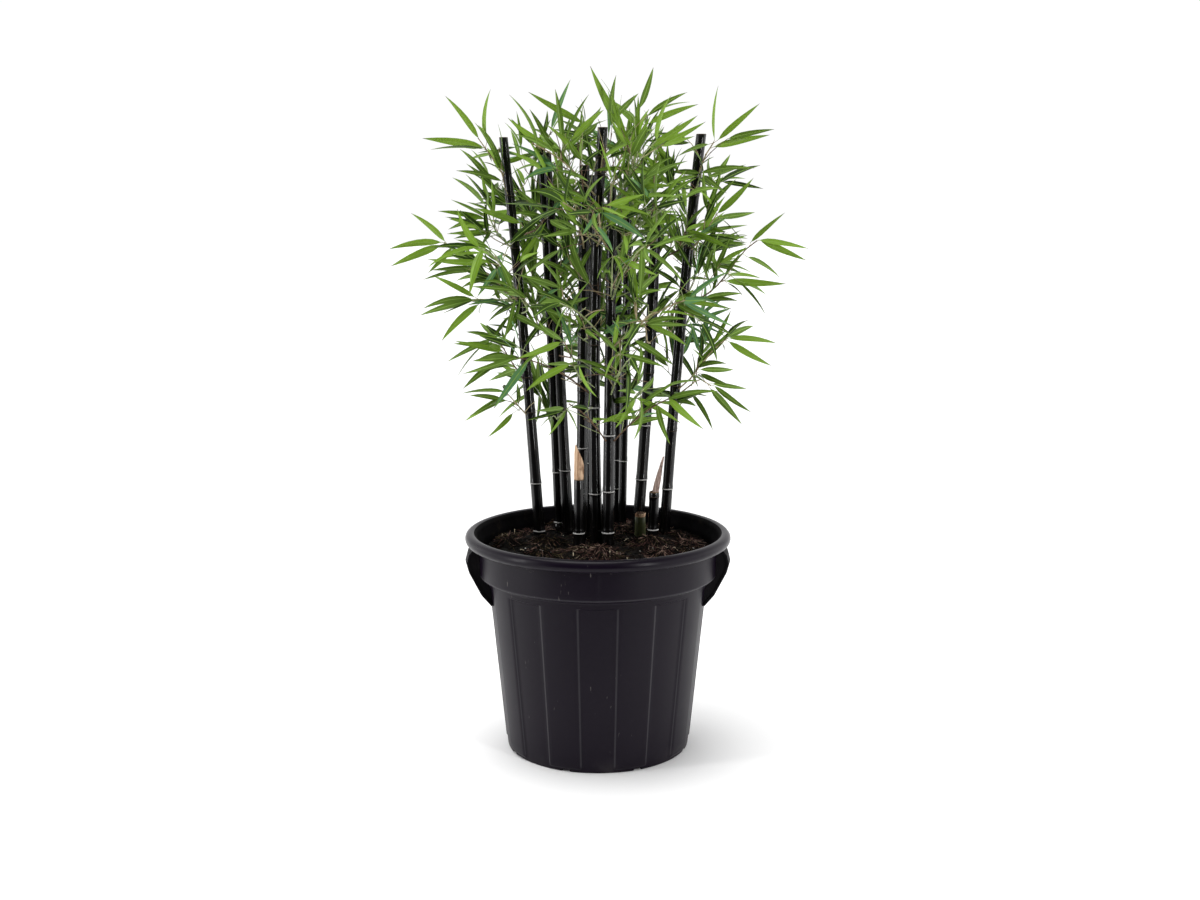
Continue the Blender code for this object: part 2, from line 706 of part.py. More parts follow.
def leaf_samples(leaf):
    """Places down both edges and the middle of a leaf, past its sunken foot."""
    half = leaf.length * LEAF_WIDTH / 2
    samples = []
    for step in range(1, LEAF_SAMPLES + 1):
        share = step / LEAF_SAMPLES
        middle = leaf.root.lerp(leaf.tip, share)
        wide = half * min(1.0, share / LEAF_WIDEST, (1.02 - share) / 0.55)
        samples += [middle, middle + leaf.across * wide, middle - leaf.across * wide]
    return samples


def run_gap(a, b, c, d):
    """The least distance between two straight runs, from places along both."""
    steps = [index / RUN_STEPS for index in range(RUN_STEPS + 1)]
    return min((a.lerp(b, s) - c.lerp(d, t)).length for s in steps for t in steps)


class SprayGrowth:
    """Grows the twigs and leaves of one spray by a seeded rule."""

    def __init__(self, index, spray, spaces):
        self.index = index
        self.spray = spray
        self.spaces = spaces
        self.chance = random.Random(1000 + index)
        self.leaves = []
        self.side_leaves = []
        self.shoots = []

    def fits(self, points, width):
        if min(p.z for p in points) < OPEN_AIR:
            return False
        return self.spaces.owns(self.index, points) and clear_of_canes(points, width)

    def clear_of_leaves(self, leaf):
        start = leaf.root.lerp(leaf.tip, LEAF_CROWDED)
        for other in self.leaves:
            other_start = other.root.lerp(other.tip, LEAF_CROWDED)
            if run_gap(start, leaf.tip, other_start, other.tip) <= LEAF_APART:
                return False
        return True

    def try_leaf(self, root, direction, length):
        """A leaf that fits, a shorter one if need be, or none."""
        roll = self.chance.uniform(0.5, 1.35) * self.chance.choice((-1, 1))
        for size in (1.0, 0.8):
            leaf = lay_leaf(root, direction, length * size, roll)
            if self.fits(leaf_samples(leaf), LEAF_TO_CANE) and self.clear_of_leaves(leaf):
                self.leaves.append(leaf)
                return leaf
        return None

    def add_shoot(self, line, width, leaf_count, place_leaf):
        """A stem or twig that ends in a leaf, with more leaves down its last stretch."""
        along = (line[-1] - line[-2]).normalized()
        end_leaf = self.try_leaf(line[-1], *place_leaf(along, 0))
        self.shoots.append(Shoot(line, width, end_leaf))
        for number in range(1, leaf_count):
            foot = line[-1] - along * LEAF_STEP * number
            leaf = self.try_leaf(foot, *place_leaf(along, number))
            if leaf:
                self.side_leaves.append(leaf)

    def twig_leaf(self, along, number):
        """Twig leaves stand out alternately to each side, wider apart lower down."""
        if number == 0:
            direction = turned(along, self.chance.uniform(-0.2, 0.2), -self.chance.uniform(0.0, 0.3))
            return direction, LEAF_LENGTH * self.chance.uniform(0.9, 1.05)
        side = 1 if number % 2 else -1
        swing = side * (0.35 + 0.22 * number) * self.chance.uniform(0.85, 1.2)
        length = LEAF_LENGTH * self.chance.uniform(0.75, 0.95)
        return turned(along, swing, -self.chance.uniform(0.0, 0.5)), length

    def hub_leaf(self, along, number):
        """Hub leaves take the angles of their fan, and swing to each side in turn."""
        side = 1 if number % 2 else -1
        widest = self.spray.swing if number else SIDE_SWING
        swing = side * self.chance.uniform(LEAST_SWING, widest)
        direction = pointing(self.spray.turn + swing, math.radians(self.spray.fan[number]))
        return direction, LEAF_LENGTH * self.chance.uniform(0.92, 1.08)

    def side_twig(self, number):
        """A twig to one side of the stem."""
        line = self.spray.line
        place = FIRST_TWIG + (LAST_TWIG - FIRST_TWIG) * number / (SIDE_TWIGS - 1)
        step = min(STEM_STEPS - 1, int(place * STEM_STEPS))
        root = line[step].lerp(line[step + 1], place * STEM_STEPS - step)
        along = (line[step + 1] - line[step]).normalized()
        side = 1 if number % 2 else -1
        for spread in TWIG_SPREADS:
            swing = side * spread * self.chance.uniform(0.8, 1.2)
            direction = turned(along, swing, self.chance.uniform(-0.35, 0.25))
            length = TWIG_LENGTH * self.chance.uniform(0.6, 1.1) * (1.0 - 0.35 * place)
            end = root + direction * length
            if self.fits([root.lerp(end, share) for share in (0.3, 0.65, 1.0)], TWIG_CLEAR):
                line = [root, root + direction * TWIG_EXIT, end]
                self.add_shoot(line, TWIG_RADIUS, TWIG_LEAVES, self.twig_leaf)
                return

    def grow(self):
        self.add_shoot(self.spray.line, STEM_RADIUS, len(self.spray.fan), self.hub_leaf)
        for number in range(SIDE_TWIGS):
            self.side_twig(number)


# ================================================================ foliage: solids

def leaf_ring(leaf):
    """A leaf's two widest edge points and, nearer its foot, the deepest point of its keel."""
    half = leaf.length * LEAF_WIDTH / 2
    wide = leaf.root.lerp(leaf.tip, LEAF_WIDEST)
    keel = leaf.root.lerp(leaf.tip, LEAF_KEEL) - leaf.lift * leaf.length * LEAF_THICK
    return [wide + leaf.across * half, wide - leaf.across * half, keel]


def spindle_faces(ring_count, start_point, end_point):
    """Faces round rings of three, closed to a point or by a flat face at each end."""
    first = 1 if start_point else 0
    after = first + 3 * ring_count
    faces = []
    for ring in range(ring_count - 1):
        low = first + 3 * ring
        for side in range(3):
            turn = (side + 1) % 3
            faces.append((low + side, low + turn, low + 3 + turn, low + 3 + side))
    if start_point:
        faces += [(0, 1 + (side + 1) % 3, 1 + side) for side in range(3)]
    else:
        faces.append((2, 1, 0))
    if end_point:
        faces += [(after, after - 3 + side, after - 3 + (side + 1) % 3) for side in range(3)]
    else:
        faces.append((after - 3, after - 2, after - 1))
    return faces


def side_leaf_solid(leaf):
    """A leaf of six faces whose foot comes to a point inside its twig."""
    return [leaf.root] + leaf_ring(leaf) + [leaf.tip], spindle_faces(1, True, True)


def shoot_solid(shoot, facing=None):
    """A three-sided shoot that runs on into its end leaf.

    A stem starts with a flat face turned to its cane, a twig with a point inside its stem.
    """
    line = shoot.line
    last = len(line) - 1
    across = (shoot.leaf.across if shoot.leaf else Vector((1, 0, 0))).copy()
    rings = []
    for index in range(last, -1 if facing else 0, -1):
        along = (line[min(last, index + 1)] - line[index - 1 if index else 0]).normalized()
        if index == 0:
            along = facing
        across = (across - along * across.dot(along)).normalized()
        lift = across.cross(along)
        radius = shoot.width * (1.0 - SHOOT_TAPER * index / last)
        spokes = (across * 0.87 + lift * 0.5, across * -0.87 + lift * 0.5, -lift)
        rings.insert(0, [line[index] + spoke * radius for spoke in spokes])
    if shoot.leaf:
        rings.append(leaf_ring(shoot.leaf))
    points = [] if facing else [line[0]]
    points += [point for ring in rings for point in ring]
    if shoot.leaf:
        points.append(shoot.leaf.tip)
    return points, spindle_faces(len(rings), not facing, bool(shoot.leaf))


def join_spray(growth):
    """The stem, twigs and leaves of one spray, made one body by a single union."""
    spray = growth.spray
    start = spray.line[0]
    facing = start - cane_point(spray.cane, start.z)
    facing.normalize()
    points, faces = shoot_solid(growth.shoots[0], facing)
    body = add_object(spray.name, points, faces, "leaf_green", 30)
    parts = bpy.data.collections.new("spray_parts")
    bpy.context.scene.collection.children.link(parts)
    shapes = [shoot_solid(shoot) for shoot in growth.shoots[1:]]
    shapes += [side_leaf_solid(leaf) for leaf in growth.side_leaves]
    for number, (shape_points, shape_faces) in enumerate(shapes):
        piece = add_object(f"piece_{number}", shape_points, shape_faces, "leaf_green")
        bpy.context.scene.collection.objects.unlink(piece)
        parts.objects.link(piece)
    step = body.modifiers.new("join", "BOOLEAN")
    step.operation = "UNION"
    step.solver = "MANIFOLD"
    step.operand_type = "COLLECTION"
    step.collection = parts
    apply_modifiers(body)
    for piece in list(parts.objects):
        bpy.data.objects.remove(piece, do_unlink=True)
    bpy.data.collections.remove(parts)
    keep_largest(body)


def keep_largest(body):
    """Drop any loose scrap that the union left."""
    work = bmesh.new()
    work.from_mesh(body.data)
    bmesh.ops.triangulate(work, faces=work.faces)
    groups = []
    left = set(work.verts)
    while left:
        stack = [left.pop()]
        group = set(stack)
        while stack:
            for edge in stack.pop().link_edges:
                for vert in edge.verts:
                    if vert in left:
                        left.discard(vert)
                        group.add(vert)
                        stack.append(vert)
        groups.append(group)
    groups.sort(key=len, reverse=True)
    scrap = [vert for group in groups[1:] for vert in group]
    bmesh.ops.delete(work, geom=scrap, context="VERTS")
    work.to_mesh(body.data)
    work.free()


def make_foliage():
    sprays = plan_sprays()
    spaces = Spaces(sprays)
    for index, spray in enumerate(sprays):
        growth = SprayGrowth(index, spray, spaces)
        growth.grow()
        join_spray(growth)


def main():
    clear_scene()
    make_tub()
    make_grip("grip_right", 0.0)
    make_grip("grip_left", math.pi)
    make_soil(CANES + STUBS)
    make_canes()
    for sheath in SHEATHS:
        make_sheath(sheath)
    make_foliage()


main()
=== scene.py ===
# %% [markdown]
# # A clump of black bamboo in its tub
# The plant stands in a round moulded tub with grips at its sides.  Its canes are bare at the foot,
# carry leafy side shoots above and are cut off flat at the top.  The measured model is already there
# as a fixed frame: this lesson dresses it with finer shapes and real finishes.
# Every length is in metres, +Z points up and the front is towards -Y.

# %% Load the fixed frame
import json
import math
import random
from collections import namedtuple

import bmesh
import bpy
import numpy as np
from mathutils import Matrix, Vector, noise

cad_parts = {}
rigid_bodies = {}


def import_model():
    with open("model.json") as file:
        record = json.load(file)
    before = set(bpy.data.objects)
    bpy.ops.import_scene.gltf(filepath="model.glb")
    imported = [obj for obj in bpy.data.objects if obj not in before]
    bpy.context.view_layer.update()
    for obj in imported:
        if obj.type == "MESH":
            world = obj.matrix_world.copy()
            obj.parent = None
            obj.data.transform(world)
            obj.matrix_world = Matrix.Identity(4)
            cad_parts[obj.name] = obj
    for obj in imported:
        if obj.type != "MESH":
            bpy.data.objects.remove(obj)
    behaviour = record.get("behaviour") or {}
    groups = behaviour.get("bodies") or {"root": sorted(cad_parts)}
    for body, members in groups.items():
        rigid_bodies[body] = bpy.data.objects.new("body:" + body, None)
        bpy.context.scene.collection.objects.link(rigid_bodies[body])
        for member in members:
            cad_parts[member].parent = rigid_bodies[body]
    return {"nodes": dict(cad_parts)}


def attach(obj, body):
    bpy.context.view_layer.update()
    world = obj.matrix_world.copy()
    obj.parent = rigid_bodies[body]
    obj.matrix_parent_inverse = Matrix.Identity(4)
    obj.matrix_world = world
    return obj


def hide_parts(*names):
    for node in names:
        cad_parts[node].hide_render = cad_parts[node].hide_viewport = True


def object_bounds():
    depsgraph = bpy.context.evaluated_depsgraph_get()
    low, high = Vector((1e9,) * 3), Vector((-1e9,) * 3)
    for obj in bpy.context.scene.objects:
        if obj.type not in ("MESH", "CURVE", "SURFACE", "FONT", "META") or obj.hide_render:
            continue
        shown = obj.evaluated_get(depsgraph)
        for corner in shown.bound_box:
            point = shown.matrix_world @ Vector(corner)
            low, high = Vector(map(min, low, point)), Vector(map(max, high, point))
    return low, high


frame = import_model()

CAD_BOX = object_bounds()
print("nodes:", len(frame["nodes"]), "box:", CAD_BOX)


def put(name, data):
    """An object that holds some data, placed in the scene."""
    made = bpy.data.objects.new(name, data)
    bpy.context.scene.collection.objects.link(made)
    return made


# %% [markdown]
# ## Camera
# A lens of 43 mm on a 36 mm sensor, two metres off and a little above the middle, shows the tub's
# rim as a flat oval and keeps the canes nearly upright.  The camera is made first, because every
# later choice of detail is judged through it.

# %% Place the camera
CAMERA_PLACE = (0.0032, -2.126, 0.815)
CAMERA_PITCH = math.radians(9.63)       # downwards
LENS_MM, SENSOR_MM = 43.2, 36.0

lens = bpy.data.cameras.new("camera")
lens.lens, lens.sensor_width = LENS_MM, SENSOR_MM
camera = put("camera", lens)
camera.location = CAMERA_PLACE
camera.rotation_euler = (math.pi / 2 - CAMERA_PITCH, 0.0, 0.0)
bpy.context.scene.camera = camera
bpy.context.scene.view_settings.view_transform = "Standard"
print("camera at", CAMERA_PLACE)

# %% [markdown]
# ## Shader arithmetic
# A finish is a small calculation over the surface: how worn, how wet, how pale.  Writing it with
# plus, minus and times reads like the thought behind it, while the class below quietly adds the
# Math nodes.  Colours are blended by Mix nodes instead, since a Math node would turn them grey.

# %% The class that turns expressions into nodes
class Flow:
    """An output socket that takes part in arithmetic; node() adds any other node."""

    def __init__(self, tree, socket=None):
        self.tree = tree
        self.socket = socket

    def node(self, kind, settings=(), values=(), output=0):
        """Add a node: its settings first, then the values or links of its inputs."""
        made = self.tree.nodes.new(kind)
        for name, value in dict(settings).items():
            setattr(made, name, value)
        for name, value in dict(values).items():
            if isinstance(value, Flow):
                self.tree.links.new(value.socket, made.inputs[name])
            else:
                made.inputs[name].default_value = value
        return Flow(self.tree, made.outputs[output])

    def math(self, operation, first, second=0.0, clamp=False):
        """Add a Math node."""
        settings = {"operation": operation, "use_clamp": clamp}
        return self.node("ShaderNodeMath", settings, {0: first, 1: second})

    def __add__(self, other):
        return self.math("ADD", self, other)

    def __radd__(self, other):
        return self.math("ADD", other, self)

    def __sub__(self, other):
        return self.math("SUBTRACT", self, other)

    def __rsub__(self, other):
        return self.math("SUBTRACT", other, self)

    def __mul__(self, other):
        return self.math("MULTIPLY", self, other)

    def __rmul__(self, other):
        return self.math("MULTIPLY", other, self)

    def __truediv__(self, other):
        return self.math("DIVIDE", self, other)

    def __rtruediv__(self, other):
        return self.math("DIVIDE", other, self)

    def held(self):
        """The same value kept between 0 and 1."""
        return self.math("ADD", self, 0.0, clamp=True)

    def ramp(self, low, high):
        """0 below low, 1 above high and a smooth rise between."""
        settings = {"interpolation_type": "SMOOTHSTEP"}
        values = {"Value": self, "From Min": low, "From Max": high}
        return self.node("ShaderNodeMapRange", settings, values)

    def band(self, rise, fall):
        """1 between a smooth rise and a smooth fall, each from one value to another."""
        return self.ramp(*rise) * (1 - self.ramp(*fall))

    def blend(self, dark, light):
        """A colour between two, with this value as the share of the second."""
        values = {0: self, 6: colour(dark), 7: colour(light)}
        return self.node("ShaderNodeMix", {"data_type": "RGBA"}, values, output=2)


def colour(value):
    """A colour socket's value: a link as it is, or three numbers with full cover."""
    return value if isinstance(value, Flow) else (*value, 1.0)


class Finish:
    """A named material: places to read, patterns to draw and a Principled shader to feed."""

    def __init__(self, name, **constants):
        self.material = bpy.data.materials.new(name)
        self.material.use_nodes = True
        self.shader = self.material.node_tree.nodes["Principled BSDF"]
        self.flow = Flow(self.material.node_tree)
        for socket, value in constants.items():
            self.shader.inputs[socket.replace("_", " ")].default_value = value

    def place(self, stretch=(1, 1, 1)):
        """The position in metres, stretched, so that a pattern has its real size."""
        spot = self.flow.node("ShaderNodeTexCoord", output=3)
        settings = {"operation": "MULTIPLY"}
        return self.flow.node("ShaderNodeVectorMath", settings, {0: spot, 1: stretch})

    def split(self, vector, axis):
        """One coordinate of a vector."""
        return self.flow.node("ShaderNodeSeparateXYZ", values={0: vector}, output=axis)

    def speckle(self, where, scale, detail=3.0, rough=0.5):
        """Cloudy noise between 0 and 1."""
        values = {"Vector": where, "Scale": scale, "Detail": detail, "Roughness": rough}
        return self.flow.node("ShaderNodeTexNoise", values=values)

    def cells(self, where, scale):
        """Distance to the nearest of scattered points, for small round dots."""
        return self.flow.node("ShaderNodeTexVoronoi", values={"Vector": where, "Scale": scale})

    def feed(self, socket, value):
        """Link a value to an input of the shader, or set it where it is a plain number."""
        if isinstance(value, Flow):
            self.flow.tree.links.new(value.socket, self.shader.inputs[socket])
        else:
            self.shader.inputs[socket].default_value = value

    def bump(self, height, strength, depth):
        """Relief of a known depth in metres, seen only in how the light falls."""
        values = {"Height": height, "Strength": strength, "Distance": depth}
        self.feed("Normal", self.flow.node("ShaderNodeBump", values=values))


def mottled(name, dark, light, scale, span=None, detail=3.0, stretch=(1, 1, 1),
            rough=(0.85, 0.0), relief=(0.4, 0.0004), shine=0.06):
    """A finish that one noise makes: its shade between two colours, its sheen and its relief."""
    made = Finish(name, Specular_IOR_Level=shine)
    pattern = made.speckle(made.place(stretch), scale, detail)
    shade = pattern.ramp(*span) if span else pattern
    made.feed("Base Color", shade.blend(dark, light))
    made.feed("Roughness", rough[0] + pattern * rough[1] if rough[1] else rough[0])
    if relief:
        made.bump(pattern, *relief)
    return made


print("shader class ready")

# %% [markdown]
# ## Studio
# Dark glossy things show what surrounds them more than they show their own colour.  So the room
# is dim in front and brighter to both sides, above and behind, which leaves the tub's front dark and
# gives its flanks and the canes their light edges.  The camera itself sees plain white behind
# everything.  One broad sun high up lights the leaves, and two tall narrow lamps draw bright lines
# up the canes.

# %% Light the studio
ROOM_DIM, ROOM_BRIGHT, WHITE_SEEN = 0.09, 1.9, 1.02
SIDE_SPAN, ABOVE_SPAN, BEHIND_SPAN = (0.60, 1.0), (0.3, 0.9), (0.10, 0.70)
ABOVE_SHARE, BEHIND_SHARE = 0.22, 0.45

world = bpy.data.worlds.new("studio")
world.use_nodes = True
bpy.context.scene.world = world
room = Flow(world.node_tree)
direction = room.node("ShaderNodeTexCoord")
sideways, depthways, upwards = (
    room.node("ShaderNodeSeparateXYZ", values={0: direction}, output=axis) for axis in range(3))
openness = (room.math("ABSOLUTE", sideways).ramp(*SIDE_SPAN) + upwards.ramp(*ABOVE_SPAN) * ABOVE_SHARE
            + depthways.ramp(*BEHIND_SPAN) * BEHIND_SHARE).held()
glow = openness * (ROOM_BRIGHT - ROOM_DIM) + ROOM_DIM
seen = room.node("ShaderNodeLightPath")
backing = world.node_tree.nodes["Background"].inputs
world.node_tree.links.new((seen * WHITE_SEEN + (1 - seen) * glow).socket, backing["Strength"])
backing["Color"].default_value = (1.0, 1.0, 1.0, 1.0)


def add_light(name, kind, place, aim, **settings):
    """A lamp or a sun that shines from its place towards the point it is aimed at."""
    light = bpy.data.lights.new(name, kind)
    for setting, value in settings.items():
        setattr(light, setting, value)
    holder = put(name, light)
    holder.location = place
    holder.rotation_euler = (Vector(aim) - Vector(place)).to_track_quat("-Z", "Y").to_euler()


STRIP = {"shape": "RECTANGLE", "size": 0.20, "size_y": 2.0}
STRIP_AIM = (0.0, 0.0, 0.6)
SUN_FROM, SUN_SPREAD = (-0.12, 0.05, 1.0), math.radians(40)
add_light("strip_right", "AREA", (1.75, -2.05, 1.00), STRIP_AIM, energy=30, **STRIP)
add_light("strip_left", "AREA", (-2.3, -0.9, 1.00), STRIP_AIM, energy=22, **STRIP)
add_light("broad_sun", "SUN", SUN_FROM, (0.0, 0.0, 0.0), energy=2.0, angle=SUN_SPREAD)
print("lamps:", sum(o.type == "LIGHT" for o in bpy.data.objects))

# %% [markdown]
# ## The floor
# A wide flat board, faintly mottled like matt paint, catches the shadow.  It runs far out to the
# sides and back, but ends a little in front of the tub: a pale floor there would be mirrored in the
# glossy collar, which should show the dim room instead.

# %% Lay the floor
FLOOR_REACH, FLOOR_FRONT = 30.0, -0.80

floor_finish = mottled("pale_floor", (0.93, 0.93, 0.93), (0.95, 0.95, 0.95), 3.0,
                       rough=(0.75, 0.0), relief=None, shine=0.5)
floor_mesh = bpy.data.meshes.new("floor")
corners = [(-FLOOR_REACH, FLOOR_FRONT, 0.0), (FLOOR_REACH, FLOOR_FRONT, 0.0),
           (FLOOR_REACH, FLOOR_REACH, 0.0), (-FLOOR_REACH, FLOOR_REACH, 0.0)]
floor_mesh.from_pydata(corners, [], [(0, 1, 2, 3)])
floor_mesh.materials.append(floor_finish.material)
floor = put("floor", floor_mesh)
print("floor", floor.dimensions[:])

# %% [markdown]
# ## Gathering many small shapes
# A crown holds a thousand leaves and the compost thousands of crumbs.  Making an object for each
# would be slow, so their points and faces are gathered in one bundle and become a single mesh.  Each
# face can carry its own finish, and each corner a place on its leaf for the veins.

# %% The bundle
class Bundle:
    """Points and faces of many shapes, kept until they become one object."""

    def __init__(self):
        self.points = []
        self.faces = []
        self.slots = []
        self.places = []
        self.total = 0

    def add(self, points, faces, slots=0, places=None):
        """Add one shape; slots is a finish number, or one for each face."""
        self.points.append(np.asarray(points, float))
        self.faces += [tuple(corner + self.total for corner in face) for face in faces]
        self.slots += [slots] * len(faces) if isinstance(slots, int) else list(slots)
        self.places.append(np.zeros((len(points), 2)) if places is None else np.asarray(places))
        self.total += len(points)

    def build(self, name, finishes, slot, nodes, smooth_angle):
        """Make the object, give it its finishes, hang it on the root body and hide the frame's nodes that
        it replaces.
        """
        mesh = bpy.data.meshes.new(name)
        mesh.from_pydata(np.concatenate(self.points).tolist(), [], self.faces)
        for finish in finishes:
            mesh.materials.append(finish.material)
        mesh.polygons.foreach_set("material_index", self.slots)
        corners = np.zeros(len(mesh.loops), np.int32)
        mesh.loops.foreach_get("vertex_index", corners)
        places = np.concatenate(self.places)[corners].astype(np.float32)
        mesh.uv_layers.new(name="blade").uv.foreach_set("vector", places.ravel())
        mesh.shade_smooth()
        mesh.set_sharp_from_angle(angle=math.radians(smooth_angle))
        piece = put(name, mesh)
        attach(piece, "root")
        if nodes:
            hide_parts(*nodes)
        print(f"{name}: {sum(len(face) - 2 for face in self.faces)} triangles")
        return piece


def ring_faces(ring_count, sides, cap_start=True):
    """Quads between rings of points, with a polygon on the last and, if wanted, the first."""
    faces = []
    for ring in range(ring_count - 1):
        low, high = ring * sides, (ring + 1) * sides
        for side in range(sides):
            after = (side + 1) % sides
            faces.append((low + side, low + after, high + after, high + side))
    if cap_start:
        faces.append(tuple(range(sides))[::-1])
    faces.append(tuple(range((ring_count - 1) * sides, ring_count * sides)))
    return faces


print("bundle ready")

# %% [markdown]
# ## Tub: the plastic
# Moulded polypropylene is nearly black with a trace of violet.  It has a satin skin with a fine
# grain, cloudy patches where it has been wiped, thin pale scuffs, and a film of dust low down where
# rain splashes soil against it.  Pale lines along the edges of its panels and along the collar's lower
# edge are painted highlights, where those edges would catch the light, and the rolled rim is worn
# glossy by hands.  Inside it is dull, and so are the grips, whose faces stay rough from the mould;
# their plastic is painted lighter than the tub's, as painted light on their shaded faces.

# %% Satin black plastic
PANEL_COUNT = 18
PANEL_ZONE = (0.006, 0.012), (0.252, 0.256)         # heights where each zone begins and where it ends
FOOT_HIGHLIGHT_ZONE = (0.2680, 0.2688), (0.2700, 0.2712)
FLECK_ZONE = (0.300, 0.306), (0.316, 0.319)
ROLL_FROM, DUST_TOP = (0.3145, 0.3195), 0.030

plastic = Finish("satin_black_plastic", Specular_IOR_Level=0.14)
spot = plastic.place()
height = plastic.split(spot, 2)
cloud = plastic.speckle(spot, 14.0, 4.0, 0.6)
scuff_field = plastic.speckle(plastic.place((260, 260, 60)), 1.0, 2.0, 0.55)
scuffs = scuff_field.ramp(0.70, 0.76) * cloud.ramp(0.52, 0.62)
flecks = 1 - plastic.cells(spot, 230.0).ramp(0.05, 0.11)
fleck_zone = height.band(*FLECK_ZONE) * cloud.ramp(0.50, 0.58)
dust = (1 - height.ramp(0.0, DUST_TOP)) * cloud.ramp(0.45, 0.75)

turn = plastic.flow.math("ARCTAN2", plastic.split(spot, 1), plastic.split(spot, 0))
panels = (turn + math.pi / 2) / (math.tau / PANEL_COUNT) + 0.5 + PANEL_COUNT
share = plastic.flow.math("FRACT", panels)
edge = plastic.flow.math("MINIMUM", share, 1 - share)
# painted highlight: a pale line down each panel edge, and below, one along the collar's lower edge
painted_edge_highlight = (1 - edge.ramp(0.010, 0.034)) * height.band(*PANEL_ZONE) * (0.45 + 0.55 * cloud)
painted_edge_highlight = (painted_edge_highlight + height.band(*FOOT_HIGHLIGHT_ZONE) * 0.8).held()

wear = (scuffs * 0.5 + flecks * fleck_zone + dust * 0.10).held()
plastic_base = cloud.blend((0.0026, 0.0007, 0.0046), (0.0050, 0.0024, 0.0074))
# the plastic's own colour with the painted edge highlights laid over it
colour_with_painted_highlights = painted_edge_highlight.blend(plastic_base, (0.030, 0.028, 0.033))
plastic.feed("Base Color", wear.blend(colour_with_painted_highlights, (0.16, 0.15, 0.14)))
plastic.feed("Roughness", 0.36 - height.ramp(*ROLL_FROM) * 0.12 + cloud * 0.10 + wear * 0.25)
grain = plastic.speckle(spot, 900.0, 2.0)
plastic.bump(grain * 0.35 + cloud * 0.4 + scuffs * 0.6, 0.35, 0.0004)
inner_plastic = mottled("dulled_inner_wall", (0.0014, 0.0010, 0.0016), (0.0100, 0.0080, 0.0060), 60.0,
                        (0.55, 0.80), 4.0, rough=(0.55, 0.3), relief=(0.3, 0.0004), shine=0.03)
# painted light: the grips' plastic is lighter than the tub's so that their shaded faces read brighter
grip_plastic_painted_lighter = mottled("matt_grip_plastic", (0.0050, 0.0046, 0.0056), (0.0115, 0.0105, 0.0120), 22.0,
                       (0.35, 0.75), 4.0, rough=(0.42, 0.2), relief=(0.3, 0.0004), shine=0.05)
print("plastic ready")

# %% [markdown]
# ## Tub: the shape
# The tub is turned about its axis, so one profile of radius and height makes it.  Between foot and
# collar the wall is pressed into panels, every other one raised, and a plain band closes them above.
# Working each point out from its angle and height keeps the panel edges as crisp as in the mould;
# carving them from a plain cone would leave ragged faces.

# %% Sizes of the tub
RIM_RADIUS, TUB_HEIGHT, ROLL_RADIUS = 0.200, 0.332, 0.009
COLLAR_RADIUS, COLLAR_FOOT, COLLAR_FLARE = 0.1795, 0.2694, 0.0008
BODY_TOP_RADIUS, BODY_TOP = 0.1670, 0.262
BASE_RADIUS, WALL, FLOOR = 0.1385, 0.0028, 0.0045
PANEL_RELIEF = 0.0022
PANEL_FOOT, PANEL_FADE = 0.004, 0.004
BAND_FOOT, BAND_SLOPE = 0.2545, 0.0015
PANEL_EDGE = math.radians(0.8)
SEAM_HALF, SEAM_RISE = math.radians(0.25), 0.0003
FOOT_ROUND, LIP = 0.0016, 0.0022        # rounding under the foot and at the collar's lower edge


def body_radius(height):
    """Radius of the wall between the raised panels."""
    return BASE_RADIUS + (BODY_TOP_RADIUS - PANEL_RELIEF - BASE_RADIUS) * height / BODY_TOP


def smooth(value):
    """A smooth step from 0 to 1."""
    value = min(1.0, max(0.0, value))
    return value * value * (3 - 2 * value)


def panel_rise(angle, height):
    """How far the wall stands out: the raised panels with rounded edges, and the band."""
    panel = math.tau / PANEL_COUNT
    turn = (angle + math.pi / 2) / panel + 0.5
    index = math.floor(turn)
    edge = min(turn - index, 1 - (turn - index)) * panel / PANEL_EDGE
    raised = 0.5 + (0.5 if index % 2 else -0.5) * smooth(edge)
    foot = smooth((height - PANEL_FOOT) / PANEL_FADE)
    band = smooth((height - BAND_FOOT) / BAND_SLOPE + 1.0)
    return PANEL_RELIEF * max(band, foot * raised)


def tub_angles():
    """Angles round the tub: many at each panel edge and at the mould seams, few between."""
    panel = math.tau / PANEL_COUNT
    angles = []
    for index in range(PANEL_COUNT):
        start = -math.pi / 2 + (index - 0.5) * panel
        angles += [start + PANEL_EDGE * share for share in (0.0, 0.35, 0.7, 1.0)]
        angles += [start + panel * share for share in (0.14, 0.26, 0.38, 0.5, 0.62, 0.74, 0.86)]
        angles += [start + panel - PANEL_EDGE * share for share in (1.0, 0.7, 0.35)]
    for seam in (-math.pi / 2, math.pi / 2):
        angles += [seam + SEAM_HALF * share for share in (-2, -1, 1, 2)]
    return sorted(angles)


def arc(radius, height, size, start, end, steps, kind="plain"):
    """Rows round part of a circle in the profile, from one angle in degrees to another."""
    rows = []
    for step in range(steps + 1):
        turn = math.radians(start + (end - start) * step / steps)
        rows.append((radius + size * math.cos(turn), height + size * math.sin(turn), kind))
    return rows


